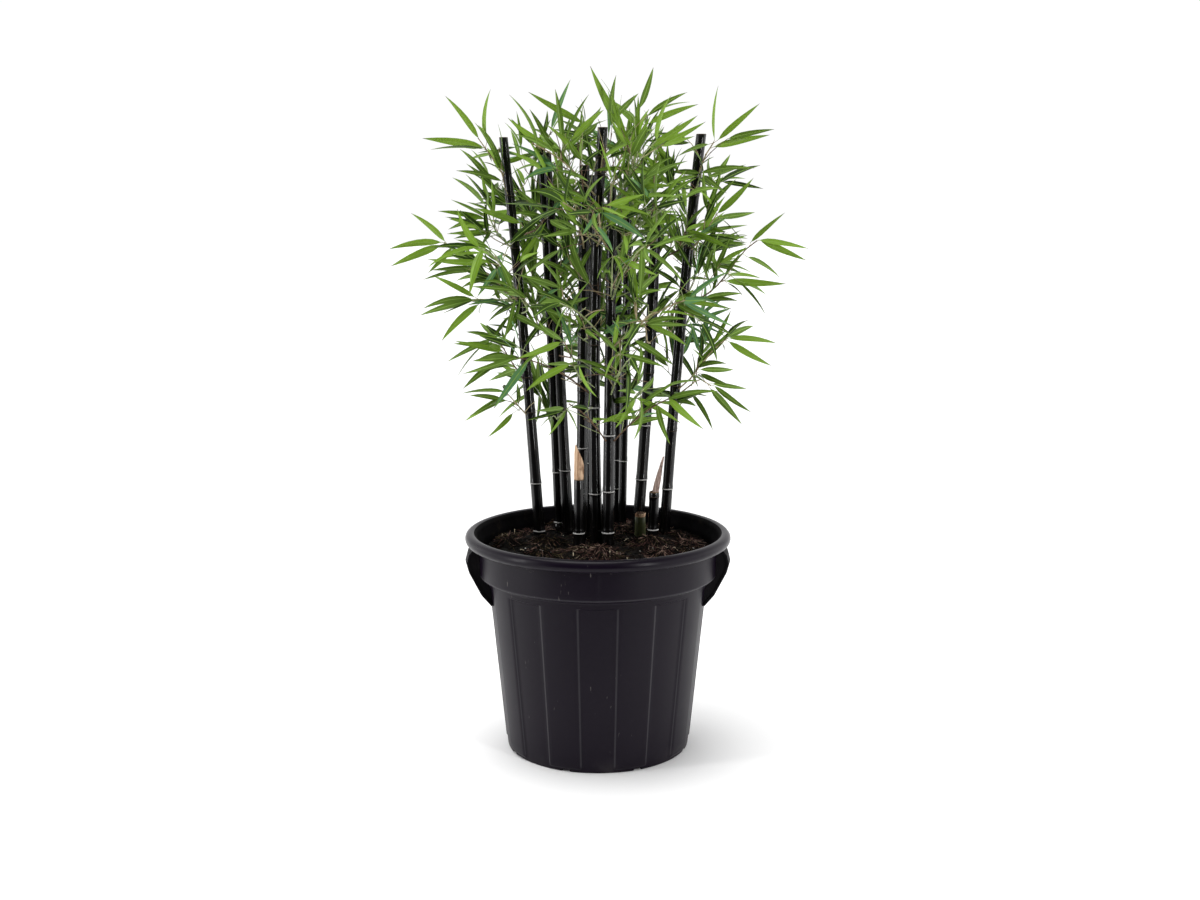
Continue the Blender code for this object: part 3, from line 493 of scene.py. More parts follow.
def tub_profile():
    """Radius, height and kind of each row, from under the foot over the rim to the inside floor."""
    rows = [(BASE_RADIUS - 0.004, 0.0, "plain")]
    rows += arc(BASE_RADIUS - FOOT_ROUND, FOOT_ROUND, FOOT_ROUND, -90, 0, 3)
    heights = [PANEL_FOOT + PANEL_FADE * share for share in (-0.3, 0.0, 0.3, 0.6, 1.0)]
    heights += [0.02, 0.06, 0.10, 0.14, 0.18, 0.22, 0.245]
    heights += [BAND_FOOT - BAND_SLOPE * share for share in (1.0, 0.65, 0.35, 0.0)]
    heights += [0.2580, BODY_TOP - 0.0015, BODY_TOP]
    rows += [(body_radius(z), z, "panel") for z in heights]
    under = COLLAR_FOOT - LIP * 0.6
    rows.append((BODY_TOP_RADIUS + 0.0012, BODY_TOP + 0.0016, "plain"))
    rows.append((COLLAR_RADIUS - LIP * 1.6, under - 0.0002, "plain"))
    rows += arc(COLLAR_RADIUS - LIP, under + LIP * 0.8, LIP, -70, 0, 5)
    top = TUB_HEIGHT - 2 * ROLL_RADIUS
    for share in (0.25, 0.5, 0.75, 0.96):
        height = COLLAR_FOOT + (top - COLLAR_FOOT) * share
        rows.append((COLLAR_RADIUS + COLLAR_FLARE * share, height, "seam"))
    centre = (RIM_RADIUS - ROLL_RADIUS, TUB_HEIGHT - ROLL_RADIUS)
    rows += arc(*centre, ROLL_RADIUS, -112, 104, 16) + arc(*centre, ROLL_RADIUS, 118, 188, 5, "inner")
    inner = COLLAR_RADIUS - WALL
    inside = ((inner + 0.0006, top - 0.001), (inner, top - 0.006), (inner, COLLAR_FOOT + WALL),
              (body_radius(COLLAR_FOOT) - WALL, COLLAR_FOOT - WALL), (body_radius(FLOOR) - WALL, FLOOR))
    return rows + [(radius, height, "inner") for radius, height in inside]


print("tub profile rows:", len(tub_profile()), "angles round it:", len(tub_angles()))

# %% [markdown]
# ## Tub: turning it and cutting its notches
# The turned profile is one closed skin: outside, over the rolled rim and down the inside to a floor.
# Water leaves the real tub through notches under its foot.  They cross the profile, so they are the
# one thing that is cut out afterwards, by a Boolean with small blocks.

# %% Turn the profile and cut the drain notches
NOTCH_COUNT, NOTCH_TURN = 8, math.radians(25)
NOTCH_SIZE = (0.018, 0.013, 0.006)      # through the foot, along it, and twice its height


def tub_points(rows, angles):
    """Every point of the tub: the profile at each angle, with its panels and seams."""
    points = []
    for radius, height, kind in rows:
        for angle in angles:
            reach = radius
            if kind == "panel":
                reach += panel_rise(angle, height)
            if kind == "seam" and abs(abs(angle) - math.pi / 2) < SEAM_HALF * 1.5:
                reach += SEAM_RISE
            points.append((reach * math.cos(angle), reach * math.sin(angle), height))
    return points


rows, angles = tub_profile(), tub_angles()
tub_bundle = Bundle()
row_slots = [int(kind == "inner") for _, _, kind in rows[:-1] for _ in angles]
tub_bundle.add(tub_points(rows, angles), ring_faces(len(rows), len(angles)), row_slots + [0, 1])
tub = tub_bundle.build("moulded_tub", [plastic, inner_plastic], "tub_plastic", ["tub"], 35)

cutter = bmesh.new()
for index in range(NOTCH_COUNT):
    turn = -math.pi / 2 + NOTCH_TURN + index * math.tau / NOTCH_COUNT
    centre = Vector((math.cos(turn), math.sin(turn), 0)) * BASE_RADIUS
    shape = Matrix.Diagonal((*NOTCH_SIZE, 1))
    place = Matrix.Translation(centre) @ Matrix.Rotation(turn, 4, "Z")
    bmesh.ops.create_cube(cutter, matrix=place @ shape)
notch_mesh = bpy.data.meshes.new("notches")
cutter.to_mesh(notch_mesh)
cutter.free()
notches = put("notches", notch_mesh)
cut = tub.modifiers.new("notches", "BOOLEAN")
cut.operation, cut.solver, cut.object = "DIFFERENCE", "EXACT", notches
cut_mesh = bpy.data.meshes.new_from_object(tub.evaluated_get(bpy.context.evaluated_depsgraph_get()))
tub.modifiers.clear()
tub.data = cut_mesh
bpy.data.objects.remove(notches)
print("tub faces:", len(tub.data.polygons))

# %% [markdown]
# ## Grips
# Each grip is a shell with webs at its ends, moulded on to the collar.  The frame's own grips have
# the right shape already, so they only take their matt plastic, which is painted a little lighter
# than the tub's as painted light on their shaded faces.

# %% Finish the grips
for name in ("grip_left", "grip_right"):
    grip = frame["nodes"][name]
    grip.data.materials.clear()
    grip.data.materials.append(grip_plastic_painted_lighter.material)
print("grips finished")

# %% [markdown]
# ## Compost: the surface
# Peat with wood fibre dries in dark crumbs, so its top is never smooth.  A round grid is lifted by
# noise at three sizes: slow swells, clods and grit.  It closes below as a shallow plug, because
# nothing deeper can be seen through the tub's wall.

# %% Earth colours
earth = Finish("damp_compost", Specular_IOR_Level=0.15)
spot = earth.place()
clods = earth.speckle(spot, 70.0, 6.0, 0.65)
grit = earth.speckle(spot, 420.0, 3.0, 0.6)
# the compost is darker on the left side of the tub and lighter on the right
left_to_right_share = (earth.split(spot, 0) + clods * 0.08).ramp(-0.10, 0.06)
darker_left_earth = clods.ramp(0.35, 0.70).blend((0.0006, 0.0005, 0.0003), (0.0026, 0.0022, 0.0013))
lighter_right_earth = clods.ramp(0.35, 0.70).blend((0.0012, 0.0008, 0.0006), (0.0070, 0.0042, 0.0030))
earth.feed("Base Color", grit.ramp(0.62, 0.80).blend(left_to_right_share.blend(darker_left_earth, lighter_right_earth), (0.024, 0.015, 0.010)))
earth.feed("Roughness", 0.80 + grit * 0.15)
earth.bump(clods + grit * 0.5, 0.9, 0.003)

SOIL_EDGE, SOIL_MOUND, SOIL_CENTRE = 0.303, 0.008, (0.0, 0.030)
SOIL_REACH, SOIL_FLAT, SOIL_SETTLED = 0.165, 1.6, 0.002
SOIL_NOISE = ((22, 0, 0.0035), (75, 7, 0.0042), (240, 3, 0.0016))   # waves a metre, layer, height
SOIL_RADIUS = COLLAR_RADIUS - WALL - 0.0009
Bunch = namedtuple("Bunch", "x y reach rise kinds")
ROOTY = (0.80, 0.08, 0.09, 0.03)        # shares of the four strands below
RUDDY = (0.34, 0.43, 0.07, 0.16)
MIXED = (0.56, 0.19, 0.16, 0.09)
BUNCHES = [Bunch(*row) for row in (
    (0.005, -0.088, 0.038, 0.018, RUDDY), (-0.078, 0.002, 0.030, 0.013, ROOTY),
    (0.076, -0.004, 0.034, 0.015, MIXED), (-0.138, 0.012, 0.024, 0.010, ROOTY),
    (0.142, 0.010, 0.026, 0.010, RUDDY), (0.036, 0.090, 0.030, 0.011, MIXED),
    (-0.086, -0.062, 0.030, 0.014, MIXED), (0.098, -0.062, 0.030, 0.013, RUDDY),
    (-0.020, 0.118, 0.030, 0.008, ROOTY), (-0.100, 0.095, 0.026, 0.002, RUDDY),
    (0.096, 0.100, 0.032, 0.008, MIXED), (0.010, 0.040, 0.032, 0.004, ROOTY),
    (-0.045, -0.105, 0.034, 0.006, ROOTY), (0.052, -0.118, 0.030, 0.006, ROOTY),
    (0.135, 0.060, 0.028, 0.005, ROOTY), (-0.140, 0.060, 0.028, 0.005, MIXED),
    (0.055, 0.145, 0.026, 0.006, RUDDY), (-0.060, 0.146, 0.026, 0.006, ROOTY),
    (-0.015, -0.040, 0.034, 0.005, MIXED), (0.145, -0.045, 0.026, 0.004, ROOTY),
)]


def soil_height(x, y):
    """The compost's surface: a low mound with its top a little behind the middle."""
    away = math.hypot(x - SOIL_CENTRE[0], y - SOIL_CENTRE[1])
    share = max(0.0, 1.0 - (away / SOIL_REACH) ** 2)
    return SOIL_EDGE + SOIL_MOUND * min(1.0, SOIL_FLAT * share)


def rough_soil(x, y):
    """The surface with swells, clods and grit, heaped up under each bunch of fibre."""
    height, heap = soil_height(x, y), 0.0
    for waves, layer, size in SOIL_NOISE:
        height += noise.noise(Vector((x, y, layer)) * waves) * size
    for bunch in BUNCHES:
        away = math.hypot(x - bunch.x, y - bunch.y) / bunch.reach
        if away < 1:
            heap = max(heap, bunch.rise * smooth(1 - away))
    return height + heap - SOIL_SETTLED


print("bunches of fibre:", len(BUNCHES))

# %% Shape the surface
SOIL_TURNS, SOIL_RINGS = 150, 56
soil_points = [(0.0, 0.0, rough_soil(0.0, 0.0))]
for ring in range(1, SOIL_RINGS + 1):
    radius = SOIL_RADIUS * ring / SOIL_RINGS
    for step in range(SOIL_TURNS):
        turn = math.tau * step / SOIL_TURNS
        x, y = radius * math.cos(turn), radius * math.sin(turn)
        soil_points.append((x, y, rough_soil(x, y)))
rim_start = 1 + (SOIL_RINGS - 1) * SOIL_TURNS
soil_points += [(x, y, COLLAR_FOOT + 0.006) for x, y, _ in soil_points[rim_start:]]
soil_faces = [(0, 1 + step, 1 + (step + 1) % SOIL_TURNS) for step in range(SOIL_TURNS)]
soil_faces += [tuple(c + 1 for c in face) for face in ring_faces(SOIL_RINGS + 1, SOIL_TURNS, False)]
soil_bundle = Bundle()
soil_bundle.add(soil_points, [face[::-1] for face in soil_faces])
soil_bundle.build("compost_top", [earth], "compost", ["compost"], 70)

# %% [markdown]
# ## Compost: crumbs, fibres and bits
# What the eye reads as soil is loose matter: crumbs that throw small shadows, root and coir fibres
# that lie every way, pale straw, and white grains of perlite.  Each kind is one bundle of tiny
# shapes dropped on the surface from seeded draws, so the bed comes out the same every time.

# %% Crumbs and grains
def lump(chance, size, flatness):
    """Points of a rough eight-sided lump and its faces."""
    axes = [(1, 0, 0), (0, 1, 0), (-1, 0, 0), (0, -1, 0), (0, 0, 1), (0, 0, -1)]
    turn = Matrix.Rotation(chance.uniform(0, math.tau), 3, "Z")
    turn = turn @ Matrix.Rotation(chance.uniform(-0.5, 0.5), 3, "X")
    points = []
    for axis in axes:
        reach = size * chance.uniform(0.65, 1.25)
        point = turn @ Vector(axis) * reach
        points.append((point.x, point.y, point.z * flatness))
    faces = [(4, a, (a + 1) % 4) for a in range(4)] + [(5, (a + 1) % 4, a) for a in range(4)]
    return np.array(points), faces


def soil_spot(chance, reach=0.97):
    """A random place on the compost."""
    radius = SOIL_RADIUS * reach * math.sqrt(chance.random())
    turn = chance.uniform(0, math.tau)
    return radius * math.cos(turn), radius * math.sin(turn)


def strew(name, finish, seed, count, draw_size, flatness, lift):
    """Drop many small lumps on the compost and make them one piece."""
    lumps, chance = Bundle(), random.Random(seed)
    for _ in range(count):
        x, y = soil_spot(chance)
        size = draw_size(chance)
        points, faces = lump(chance, size, flatness)
        lumps.add(points + (x, y, rough_soil(x, y) + size * lift), faces)
    lumps.build(name, [finish], "compost", [], 60)


perlite = mottled("white_perlite", (0.50, 0.48, 0.43), (0.82, 0.80, 0.76), 900.0,
                  rough=(0.9, 0.0), relief=(0.6, 0.0006), shine=0.2)
strew("compost_crumbs", earth, 11, 2600, lambda chance: 0.0008 + 0.0030 * chance.random() ** 3, 0.7, 0.3)
strew("perlite_grains", perlite, 12, 70, lambda chance: chance.uniform(0.0006, 0.0017), 0.9, 0.7)

# %% A tapered tube along a line of points
def tube(line, radii, sides):
    """Points and faces of a round shoot that follows a line, with flat ends."""
    line = [Vector(p) for p in line]
    last = len(line) - 1
    points = []
    across = None
    for index, middle in enumerate(line):
        along = (line[min(last, index + 1)] - line[max(0, index - 1)]).normalized()
        if across is None:
            across = along.orthogonal()
        across = (across - along * across.dot(along)).normalized()
        lift = along.cross(across)
        for side in range(sides):
            turn = math.tau * side / sides
            points.append(middle + (across * math.cos(turn) + lift * math.sin(turn)) * radii[index])
    return [tuple(p) for p in points], ring_faces(len(line), sides)


print("tube ready")

# %% Fibres and straw
FIBRE_STEPS, FIBRE_THINS = 3, (1.0, 1.0, 0.8, 0.35)     # the radius at each point, in shares
FIBRE_REACH = SOIL_RADIUS * 0.985


def fibre(x, y, heading, bend, length, radius, lift):
    """A bent fibre: it starts on the compost and ends at its own height above it."""
    line = []
    for step in range(FIBRE_STEPS + 1):
        share = step / FIBRE_STEPS
        if step:
            x += math.cos(heading + bend * share) * length / FIBRE_STEPS
            y += math.sin(heading + bend * share) * length / FIBRE_STEPS
        if math.hypot(x, y) > FIBRE_REACH:
            break
        line.append((x, y, rough_soil(x, y) + radius * 0.6 + lift * share))
    return line


FIBRE_NOISE, FIBRE_SPAN = 300.0, (0.25, 0.75)
STRANDS = [mottled(*row, FIBRE_NOISE, FIBRE_SPAN) for row in (
    ("dark_root_fibre", (0.0010, 0.0007, 0.0005), (0.010, 0.0065, 0.0045)),
    ("ruddy_coir", (0.010, 0.005, 0.0045), (0.120, 0.062, 0.053)),
    ("olive_straw", (0.012, 0.009, 0.0045), (0.120, 0.094, 0.050)),
    ("bleached_coir", (0.100, 0.062, 0.050), (0.360, 0.250, 0.200)),
    ("pale_straw", (0.36, 0.29, 0.19), (0.74, 0.66, 0.50)),
)]
STRAW = STRANDS.pop()


def lay_fibre(bundle, line, radius, kind):
    """Add a fibre that thins out to its end, unless the tub's wall cuts it too short."""
    if len(line) > 1:
        radii = [radius * share for share in FIBRE_THINS[:len(line)]]
        bundle.add(*tube(line, radii, 3), kind)


STRAND_COUNT, USUAL_REACH, LOOSE_COUNT = 330, 0.034, 1500
fibres, chance = Bundle(), random.Random(13)
for bunch in BUNCHES:
    for _ in range(int(STRAND_COUNT * (bunch.reach / USUAL_REACH) ** 2)):
        out = chance.uniform(0, math.tau)
        reach = bunch.reach * chance.uniform(0.0, 0.8)
        x, y = bunch.x + reach * math.cos(out), bunch.y + reach * math.sin(out)
        length, radius = chance.uniform(0.008, 0.022), chance.uniform(0.00026, 0.00070)
        heading, bend = out + chance.gauss(0, 0.55), chance.uniform(-0.8, 0.8)
        line = fibre(x, y, heading, bend, length, radius, chance.uniform(0.0, 0.0070))
        lay_fibre(fibres, line, radius, chance.choices((0, 1, 2, 3), bunch.kinds)[0])
for _ in range(LOOSE_COUNT):
    x, y = soil_spot(chance, 0.95)
    length, radius = chance.uniform(0.006, 0.020), chance.uniform(0.0002, 0.0005)
    heading, bend = chance.uniform(0, math.tau), chance.uniform(-1.4, 1.4)
    line = fibre(x, y, heading, bend, length, radius, chance.uniform(-0.001, 0.003))
    lay_fibre(fibres, line, radius, chance.choices((0, 1, 2, 3), ROOTY)[0])
fibres.build("root_fibres", STRANDS, "compost", [], 60)

STRAW_PLACES = [(-0.110, -0.030), (-0.034, -0.098), (0.042, -0.098), (0.040, 0.020), (0.110, -0.020)]
STRAW_COUNT, STRAW_LIFT = 16, Vector((0, 0, 0.0012))
straws, chance = Bundle(), random.Random(14)
for x, y in STRAW_PLACES + [soil_spot(chance, 0.92) for _ in range(STRAW_COUNT)]:
    length, radius = chance.uniform(0.006, 0.013), chance.uniform(0.0004, 0.0009)
    heading, bend = chance.uniform(0, math.tau), chance.uniform(-0.3, 0.3)
    line = fibre(x, y, heading, bend, length, radius, chance.uniform(0.001, 0.004))
    if len(line) > 1:
        straws.add(*tube([Vector(p) + STRAW_LIFT for p in line], [radius] * len(line), 4))
straws.build("straw_bits", [STRAW], "compost", [], 60)

# %% [markdown]
# ## Canes: the skin
# A ripened cane of this bamboo is black and polished like lacquered wood.  Close up it has faint
# brown clouding and fine lengthwise streaks, so its skin is two noises, one of them drawn out along
# the cane.  The rings are thin grey-white scars left by the sheaths that once wrapped the shoot, and
# like the brown scars of shoots and the cut ends they are the same finish in other colours.

# %% Cane finishes
def cane_finish(name, dark, light, gloss, shine=0.20):
    """A cane's skin: lengthwise streaks and clouds in two tones, and nearly smooth."""
    made = Finish(name, Specular_IOR_Level=shine)
    streak = made.speckle(made.place((420, 420, 9)), 1.0, 3.0, 0.6)
    cloud = made.speckle(made.place(), 26.0, 4.0, 0.6)
    made.feed("Base Color", (streak * 0.5 + cloud.ramp(0.45, 0.75) * 0.5).blend(dark, light))
    made.feed("Roughness", gloss + cloud * 0.09)
    made.bump(streak, 0.03, 0.0003)
    return made


black_skin = cane_finish("polished_black_cane", (0.0008, 0.0007, 0.0009), (0.0036, 0.0029, 0.0028),
                         0.11, 0.42)
olive_skin = cane_finish("olive_cane", (0.018, 0.022, 0.008), (0.085, 0.095, 0.036), 0.30)
ring_scar = cane_finish("pale_ring_scar", (0.34, 0.33, 0.32), (0.72, 0.71, 0.69), 0.55)
branch_scar = cane_finish("brown_branch_scar", (0.018, 0.011, 0.007), (0.075, 0.050, 0.030), 0.50)
cut_wood = cane_finish("cut_cane_end", (0.10, 0.060, 0.030), (0.34, 0.23, 0.13), 0.70)
print("cane finishes ready")

# %% [markdown]
# ## Canes: the shape
# A cane is a stack of rings of points that follow its lean and its bow.  At a joint the skin steps
# out over a ridge, with the pale scar just under it; above a joint that bears a shoot one side is
# pressed into a shallow groove.  The top is cut flat, and the cane is hollow below the cut.

# %% Where the canes stand
Cane = namedtuple("Cane", "name base top foot_width top_width bow rings joints")
CANES = (
    Cane("cane_left_outer", (-0.0911, 0.0666), (-0.1412, 0.0766, 0.916), 0.0175, 0.0136, 0.003,
         (0.3158, 0.391), (0.502, 0.556, 0.612, 0.680, 0.752, 0.830)),
    Cane("cane_left_back", (-0.062, 0.1), (-0.0864, 0.114, 0.906), 0.013, 0.012, 0.001,
         (0.3223, 0.402), (0.495, 0.588, 0.680, 0.770, 0.846)),
    Cane("cane_left_thick", (-0.0471, 0.0876), (-0.0771, 0.1008, 0.895), 0.0185, 0.0122, 0.001,
         (0.407,), (0.500, 0.612, 0.705, 0.800, 0.873)),
    Cane("cane_centre_left", (-0.026, 0.0325), (-0.0196, 0.0373, 0.874), 0.016, 0.015, 0.0,
         (0.452,), (0.540, 0.640, 0.740, 0.830)),
    Cane("cane_centre_thin", (-0.0138, 0.0475), (-0.0087, 0.056, 0.86), 0.009, 0.008, 0.0,
         (0.426,), (0.530, 0.630, 0.720, 0.800)),
    Cane("cane_centre_tall", (-0.0013, 0.0059), (0.007, 0.0067, 0.927), 0.019, 0.015, -0.008,
         (0.387, 0.518), (0.612, 0.700, 0.790, 0.860, 0.885)),
    Cane("cane_centre_front", (0.015, -0.0085), (0.0206, -0.0083, 0.842), 0.018, 0.013, 0.0,
         (0.3302, 0.393, 0.478), (0.580, 0.680, 0.752, 0.820)),
    Cane("cane_back_thin", (0.0299, 0.14), (0.0332, 0.156, 0.777), 0.0115, 0.01, 0.0,
         (0.368, 0.414), (0.500, 0.600, 0.680, 0.752)),
    Cane("cane_back", (0.0384, 0.12), (0.0481, 0.137, 0.854), 0.0125, 0.012, 0.0,
         (0.416,), (0.520, 0.612, 0.726, 0.830)),
    Cane("cane_right_inner", (0.0623, 0.0876), (0.0894, 0.1008, 0.816), 0.018, 0.016, 0.003,
         (0.393, 0.478), (0.560, 0.640, 0.726, 0.794)),
    Cane("cane_right_outer", (0.1048, 0.0876), (0.1564, 0.1008, 0.922), 0.0165, 0.0155, -0.004,
         (0.378,), (0.470, 0.540, 0.612, 0.680, 0.752, 0.830)),
)
STUBS = (
    Cane("stub_front_left", (-0.0283, -0.0201), (-0.0283, -0.0201, 0.4135), 0.0165, 0.015, 0.0,
         (0.332,), ()),
    Cane("stub_right_short", (0.0651, 0.046), (0.0653, 0.046, 0.343), 0.016, 0.016, 0.0, (), ()),
    Cane("stub_right_front", (0.0833, 0.0124), (0.0854, 0.0124, 0.3885), 0.016, 0.015, 0.0,
         (0.330,), (0.381,)),
)
PLANT_DEPTH, ROOT_FLARE, NODE_SWELL, GAP = 0.012, 0.0016, 0.0008, 0.0003
CANE_FOOT = SOIL_EDGE + SOIL_MOUND


def cane_point(cane, height):
    """The middle of the cane at a height, along its lean and its bow."""
    share = (height - CANE_FOOT) / (cane.top[2] - CANE_FOOT)
    bow = cane.bow * 4 * share * (1 - share)
    x = cane.base[0] + (cane.top[0] - cane.base[0]) * share + bow
    y = cane.base[1] + (cane.top[1] - cane.base[1]) * share
    return Vector((x, y, height))


def cane_radius(cane, height):
    """The cane's radius at a height, without the swelling of its joints."""
    share = min(1.0, max(0.0, (height - CANE_FOOT) / (cane.top[2] - CANE_FOOT)))
    return (cane.foot_width + (cane.top_width - cane.foot_width) * share) / 2


print("canes:", len(CANES), "stubs:", len(STUBS))

# %% Turn each cane
CANE_SIDES, ROW_APART = 28, 0.016
RING_ROWS = (                           # height from the ring, share of the swelling, finish above
    (-0.0060, 0.00, 0), (-0.0026, 0.05, 0), (-0.0013, 0.20, 0), (-0.0008, 0.95, 1),
    (0.0008, 0.95, 0), (0.0012, 0.45, 0), (0.0022, 0.55, 0), (0.0034, 0.60, 0),
    (0.0052, 0.35, 0), (0.0075, 0.08, 0), (0.0100, 0.00, 0),
)
JOINT_ROWS = (
    (-0.0060, 0.00, 0), (-0.0022, 0.12, 0), (-0.0009, 0.55, 2),
    (0.0003, 0.60, 0), (0.0009, 0.38, 0), (0.0024, 0.75, 0), (0.0042, 0.50, 0),
    (0.0064, 0.10, 0), (0.0088, 0.00, 0),
)
GROOVE_DEPTH, GROOVE_SPREAD, GROOVE_FROM, SIDE_TURN = 0.11, 0.55, 0.004, 1.3
HOLLOW_DEPTH, HOLLOW_SHARE, CUT_SHARE = 0.014, 0.68, 0.94
FLARE_FADES = ((0.003, 0.6), (0.008, 0.25))     # height over the compost, share of the root flare
LEAST_RISE, BELOW_CUT = 0.0002, 0.001


def cane_rows(cane):
    """Height, added radius and finish number of each row, from the planted foot to the cut."""
    ground = soil_height(*cane.base)
    rows = [(ground - PLANT_DEPTH, ROOT_FLARE / 2, 0), (ground - 0.002, ROOT_FLARE, 0)]
    marks = [(z, RING_ROWS) for z in cane.rings] + [(z, JOINT_ROWS) for z in cane.joints]
    lowest = min([z for z, _ in marks] + [cane.top[2]]) - 0.0028
    for lift, share in FLARE_FADES:
        if ground + lift < lowest:
            rows.append((ground + lift, ROOT_FLARE * share, 0))
    for level, pattern in sorted(marks, key=lambda mark: mark[0]):
        for offset, swell, slot in pattern:
            if rows[-1][0] + LEAST_RISE < level + offset < cane.top[2] - BELOW_CUT:
                rows.append((level + offset, swell * NODE_SWELL, slot))
    if rows[-1][0] < cane.top[2] - 0.004:
        rows.append((cane.top[2] - 0.0006, 0.0, 0))
    filled = [rows[0]]
    for row in rows[1:]:
        start = filled[-1]
        rise, widening = row[0] - start[0], row[1] - start[1]
        count = int(rise / ROW_APART)
        for step in range(1, count + 1):
            share = step / (count + 1)
            filled.append((start[0] + rise * share, start[1] + widening * share, 0))
        filled.append(row)
    return filled


def groove(cane, height, angle, order):
    """How much of the radius is pressed in: one side, in turn, above each joint with a shoot."""
    below = [z for z in cane.joints if z < height - GROOVE_FROM]
    if not below:
        return 0.0
    above = [z for z in cane.joints if z > height]
    start = max(below)
    end = min(above) if above else cane.top[2] + 0.05
    share = (height - start) / (end - start)
    side = order * SIDE_TURN + math.pi * (len(below) % 2)
    across = (angle - side + math.pi) % math.tau - math.pi
    return GROOVE_DEPTH * smooth(1 - abs(across) / GROOVE_SPREAD) * smooth((1 - share) * 1.6)


def cane_ring(middle, radius_at):
    """One ring of points round the middle, with a radius for each angle."""
    angles = [math.tau * side / CANE_SIDES for side in range(CANE_SIDES)]
    spokes = [(radius_at(angle), angle) for angle in angles]
    return [(middle.x + r * math.cos(a), middle.y + r * math.sin(a), middle.z) for r, a in spokes]


def turned_cane(cane, order):
    """Points, faces and finish numbers of a cane with its hollow top."""
    rows = cane_rows(cane)
    points = []
    for height, swell, _ in rows:
        def radius_at(angle):
            spoke = Vector((math.cos(angle), math.sin(angle), height * 9 + order))
            ripple = 1.0 + 0.005 * noise.noise(spoke) - groove(cane, height, angle, order)
            return cane_radius(cane, height) * ripple + swell
        points += cane_ring(cane_point(cane, height), radius_at)
    top = cane_point(cane, cane.top[2])
    hollow = top - Vector((0, 0, HOLLOW_DEPTH))
    for middle, share in ((top, CUT_SHARE), (top, HOLLOW_SHARE), (hollow, HOLLOW_SHARE * 0.95)):
        points += cane_ring(middle, lambda angle: cane_radius(cane, cane.top[2]) * share)
    slots = [slot for _, _, slot in rows[:-1] for _ in range(CANE_SIDES)] + [3] * (3 * CANE_SIDES)
    return points, ring_faces(len(rows) + 3, CANE_SIDES), slots + [0, 3]


def build_cane(cane, order, skin=black_skin, slot="black_cane"):
    """Turn one cane or stub into a piece that stands for its node."""
    bundle = Bundle()
    bundle.add(*turned_cane(cane, order))
    bundle.build(f"turned_{cane.name}", [skin, ring_scar, branch_scar, cut_wood], slot, [cane.name], 50)


for order, cane in enumerate(CANES):
    build_cane(cane, order)

# %% [markdown]
# ## Stubs
# Three older shoots were cut short near the compost.  Two are black, one is still olive green, and
# each keeps a scrap of the papery sheath that once wrapped it.  They are turned like the canes.

# %% Turn the stubs
for order, stub in enumerate(STUBS):
    green = (olive_skin, "olive_cane") if stub.name == "stub_right_short" else ()
    build_cane(stub, order + 20, *green)

# %% [markdown]
# ## Papery sheaths
# A sheath is a thin curved sheet with a ragged edge: dry, fibrous and stained outside, and weathered
# to a dull brown where it is old.  Its inside is painted much darker, as painted shade in the hollow
# of the sheet.  It is built as rows across an arc, given where it starts and at its torn end, with an
# inside and an outside, because a single sheet would look flat.

# %% Papery sheaths
def sheath_finish(name, dark, light, mark):
    """Dry papery skin: fine lengthwise fibres with a few darker stains."""
    made = Finish(name, Specular_IOR_Level=0.25)
    streak = made.speckle(made.place((700, 700, 22)), 1.0, 4.0, 0.65)
    stain = made.speckle(made.place(), 60.0, 3.0)
    base = streak.ramp(0.30, 0.70).blend(dark, light)
    made.feed("Base Color", stain.ramp(0.54, 0.70).blend(base, mark))
    made.feed("Roughness", 0.60 + streak * 0.2)
    made.bump(streak, 0.5, 0.0006)
    return made


husk = sheath_finish("papery_sheath", (0.34, 0.17, 0.09), (0.88, 0.64, 0.43), (0.26, 0.14, 0.08))
old_husk = sheath_finish("weathered_sheath", (0.11, 0.06, 0.05), (0.56, 0.42, 0.36), (0.05, 0.03, 0.025))
# painted shade: the inner face of each sheath is painted far darker than its outside
husk_inside_painted_shade = mottled("sheath_inside", (0.020, 0.012, 0.009), (0.11, 0.070, 0.048), 1.0,
                      stretch=(500, 500, 30), rough=(0.8, 0.0), relief=(0.4, 0.0005), shine=0.2)

SHEATH_WALL, SHEATH_STEPS, SHEATH_ROWS = 0.0009, 22, 26
SHEATH_INSET, TORN_DEPTH, FOLD_DEPTH, FOLDS = 0.0004, 0.0016, 0.00025, 17
Sheath = namedtuple("Sheath", "name stub height start_arc end_arc lean flare taper")
SHEATHS = (
    Sheath("sheath_front_left", 0, 0.052, (-200, 60), (-152, -130), (0.0010, 0.0), 0.0004, 1.05),
    Sheath("sheath_right_short", 1, 0.005, (-170, 150), (-165, 140), (0.0, 0.0), 0.0006, 0.7),
    Sheath("sheath_right_front", 2, 0.0545, (-122, -18), (-62, -40), (0.0082, 0.0), 0.0010, 1.3),
)


def sheet_faces(rows, columns):
    """Faces of a bent sheet with an outside, an inside and a rim, and their finish numbers."""
    back = rows * columns
    faces, slots = [], []
    for row in range(rows - 1):
        for column in range(columns - 1):
            a = row * columns + column
            b = a + columns
            faces += [(a, a + 1, b + 1, b), (back + a, back + b, back + b + 1, back + a + 1)]
            slots += [0, 1]
    for column in range(columns - 1):
        last = (rows - 1) * columns + column
        faces += [(column, back + column, back + column + 1, column + 1)]
        faces += [(last, last + 1, back + last + 1, back + last)]
        slots += [0, 0]
    for row in range(rows - 1):
        a, b = row * columns, (row + 1) * columns
        c, d = a + columns - 1, b + columns - 1
        faces += [(a, b, back + b, back + a), (c, back + c, back + d, d)]
        slots += [0, 0]
    return faces, slots


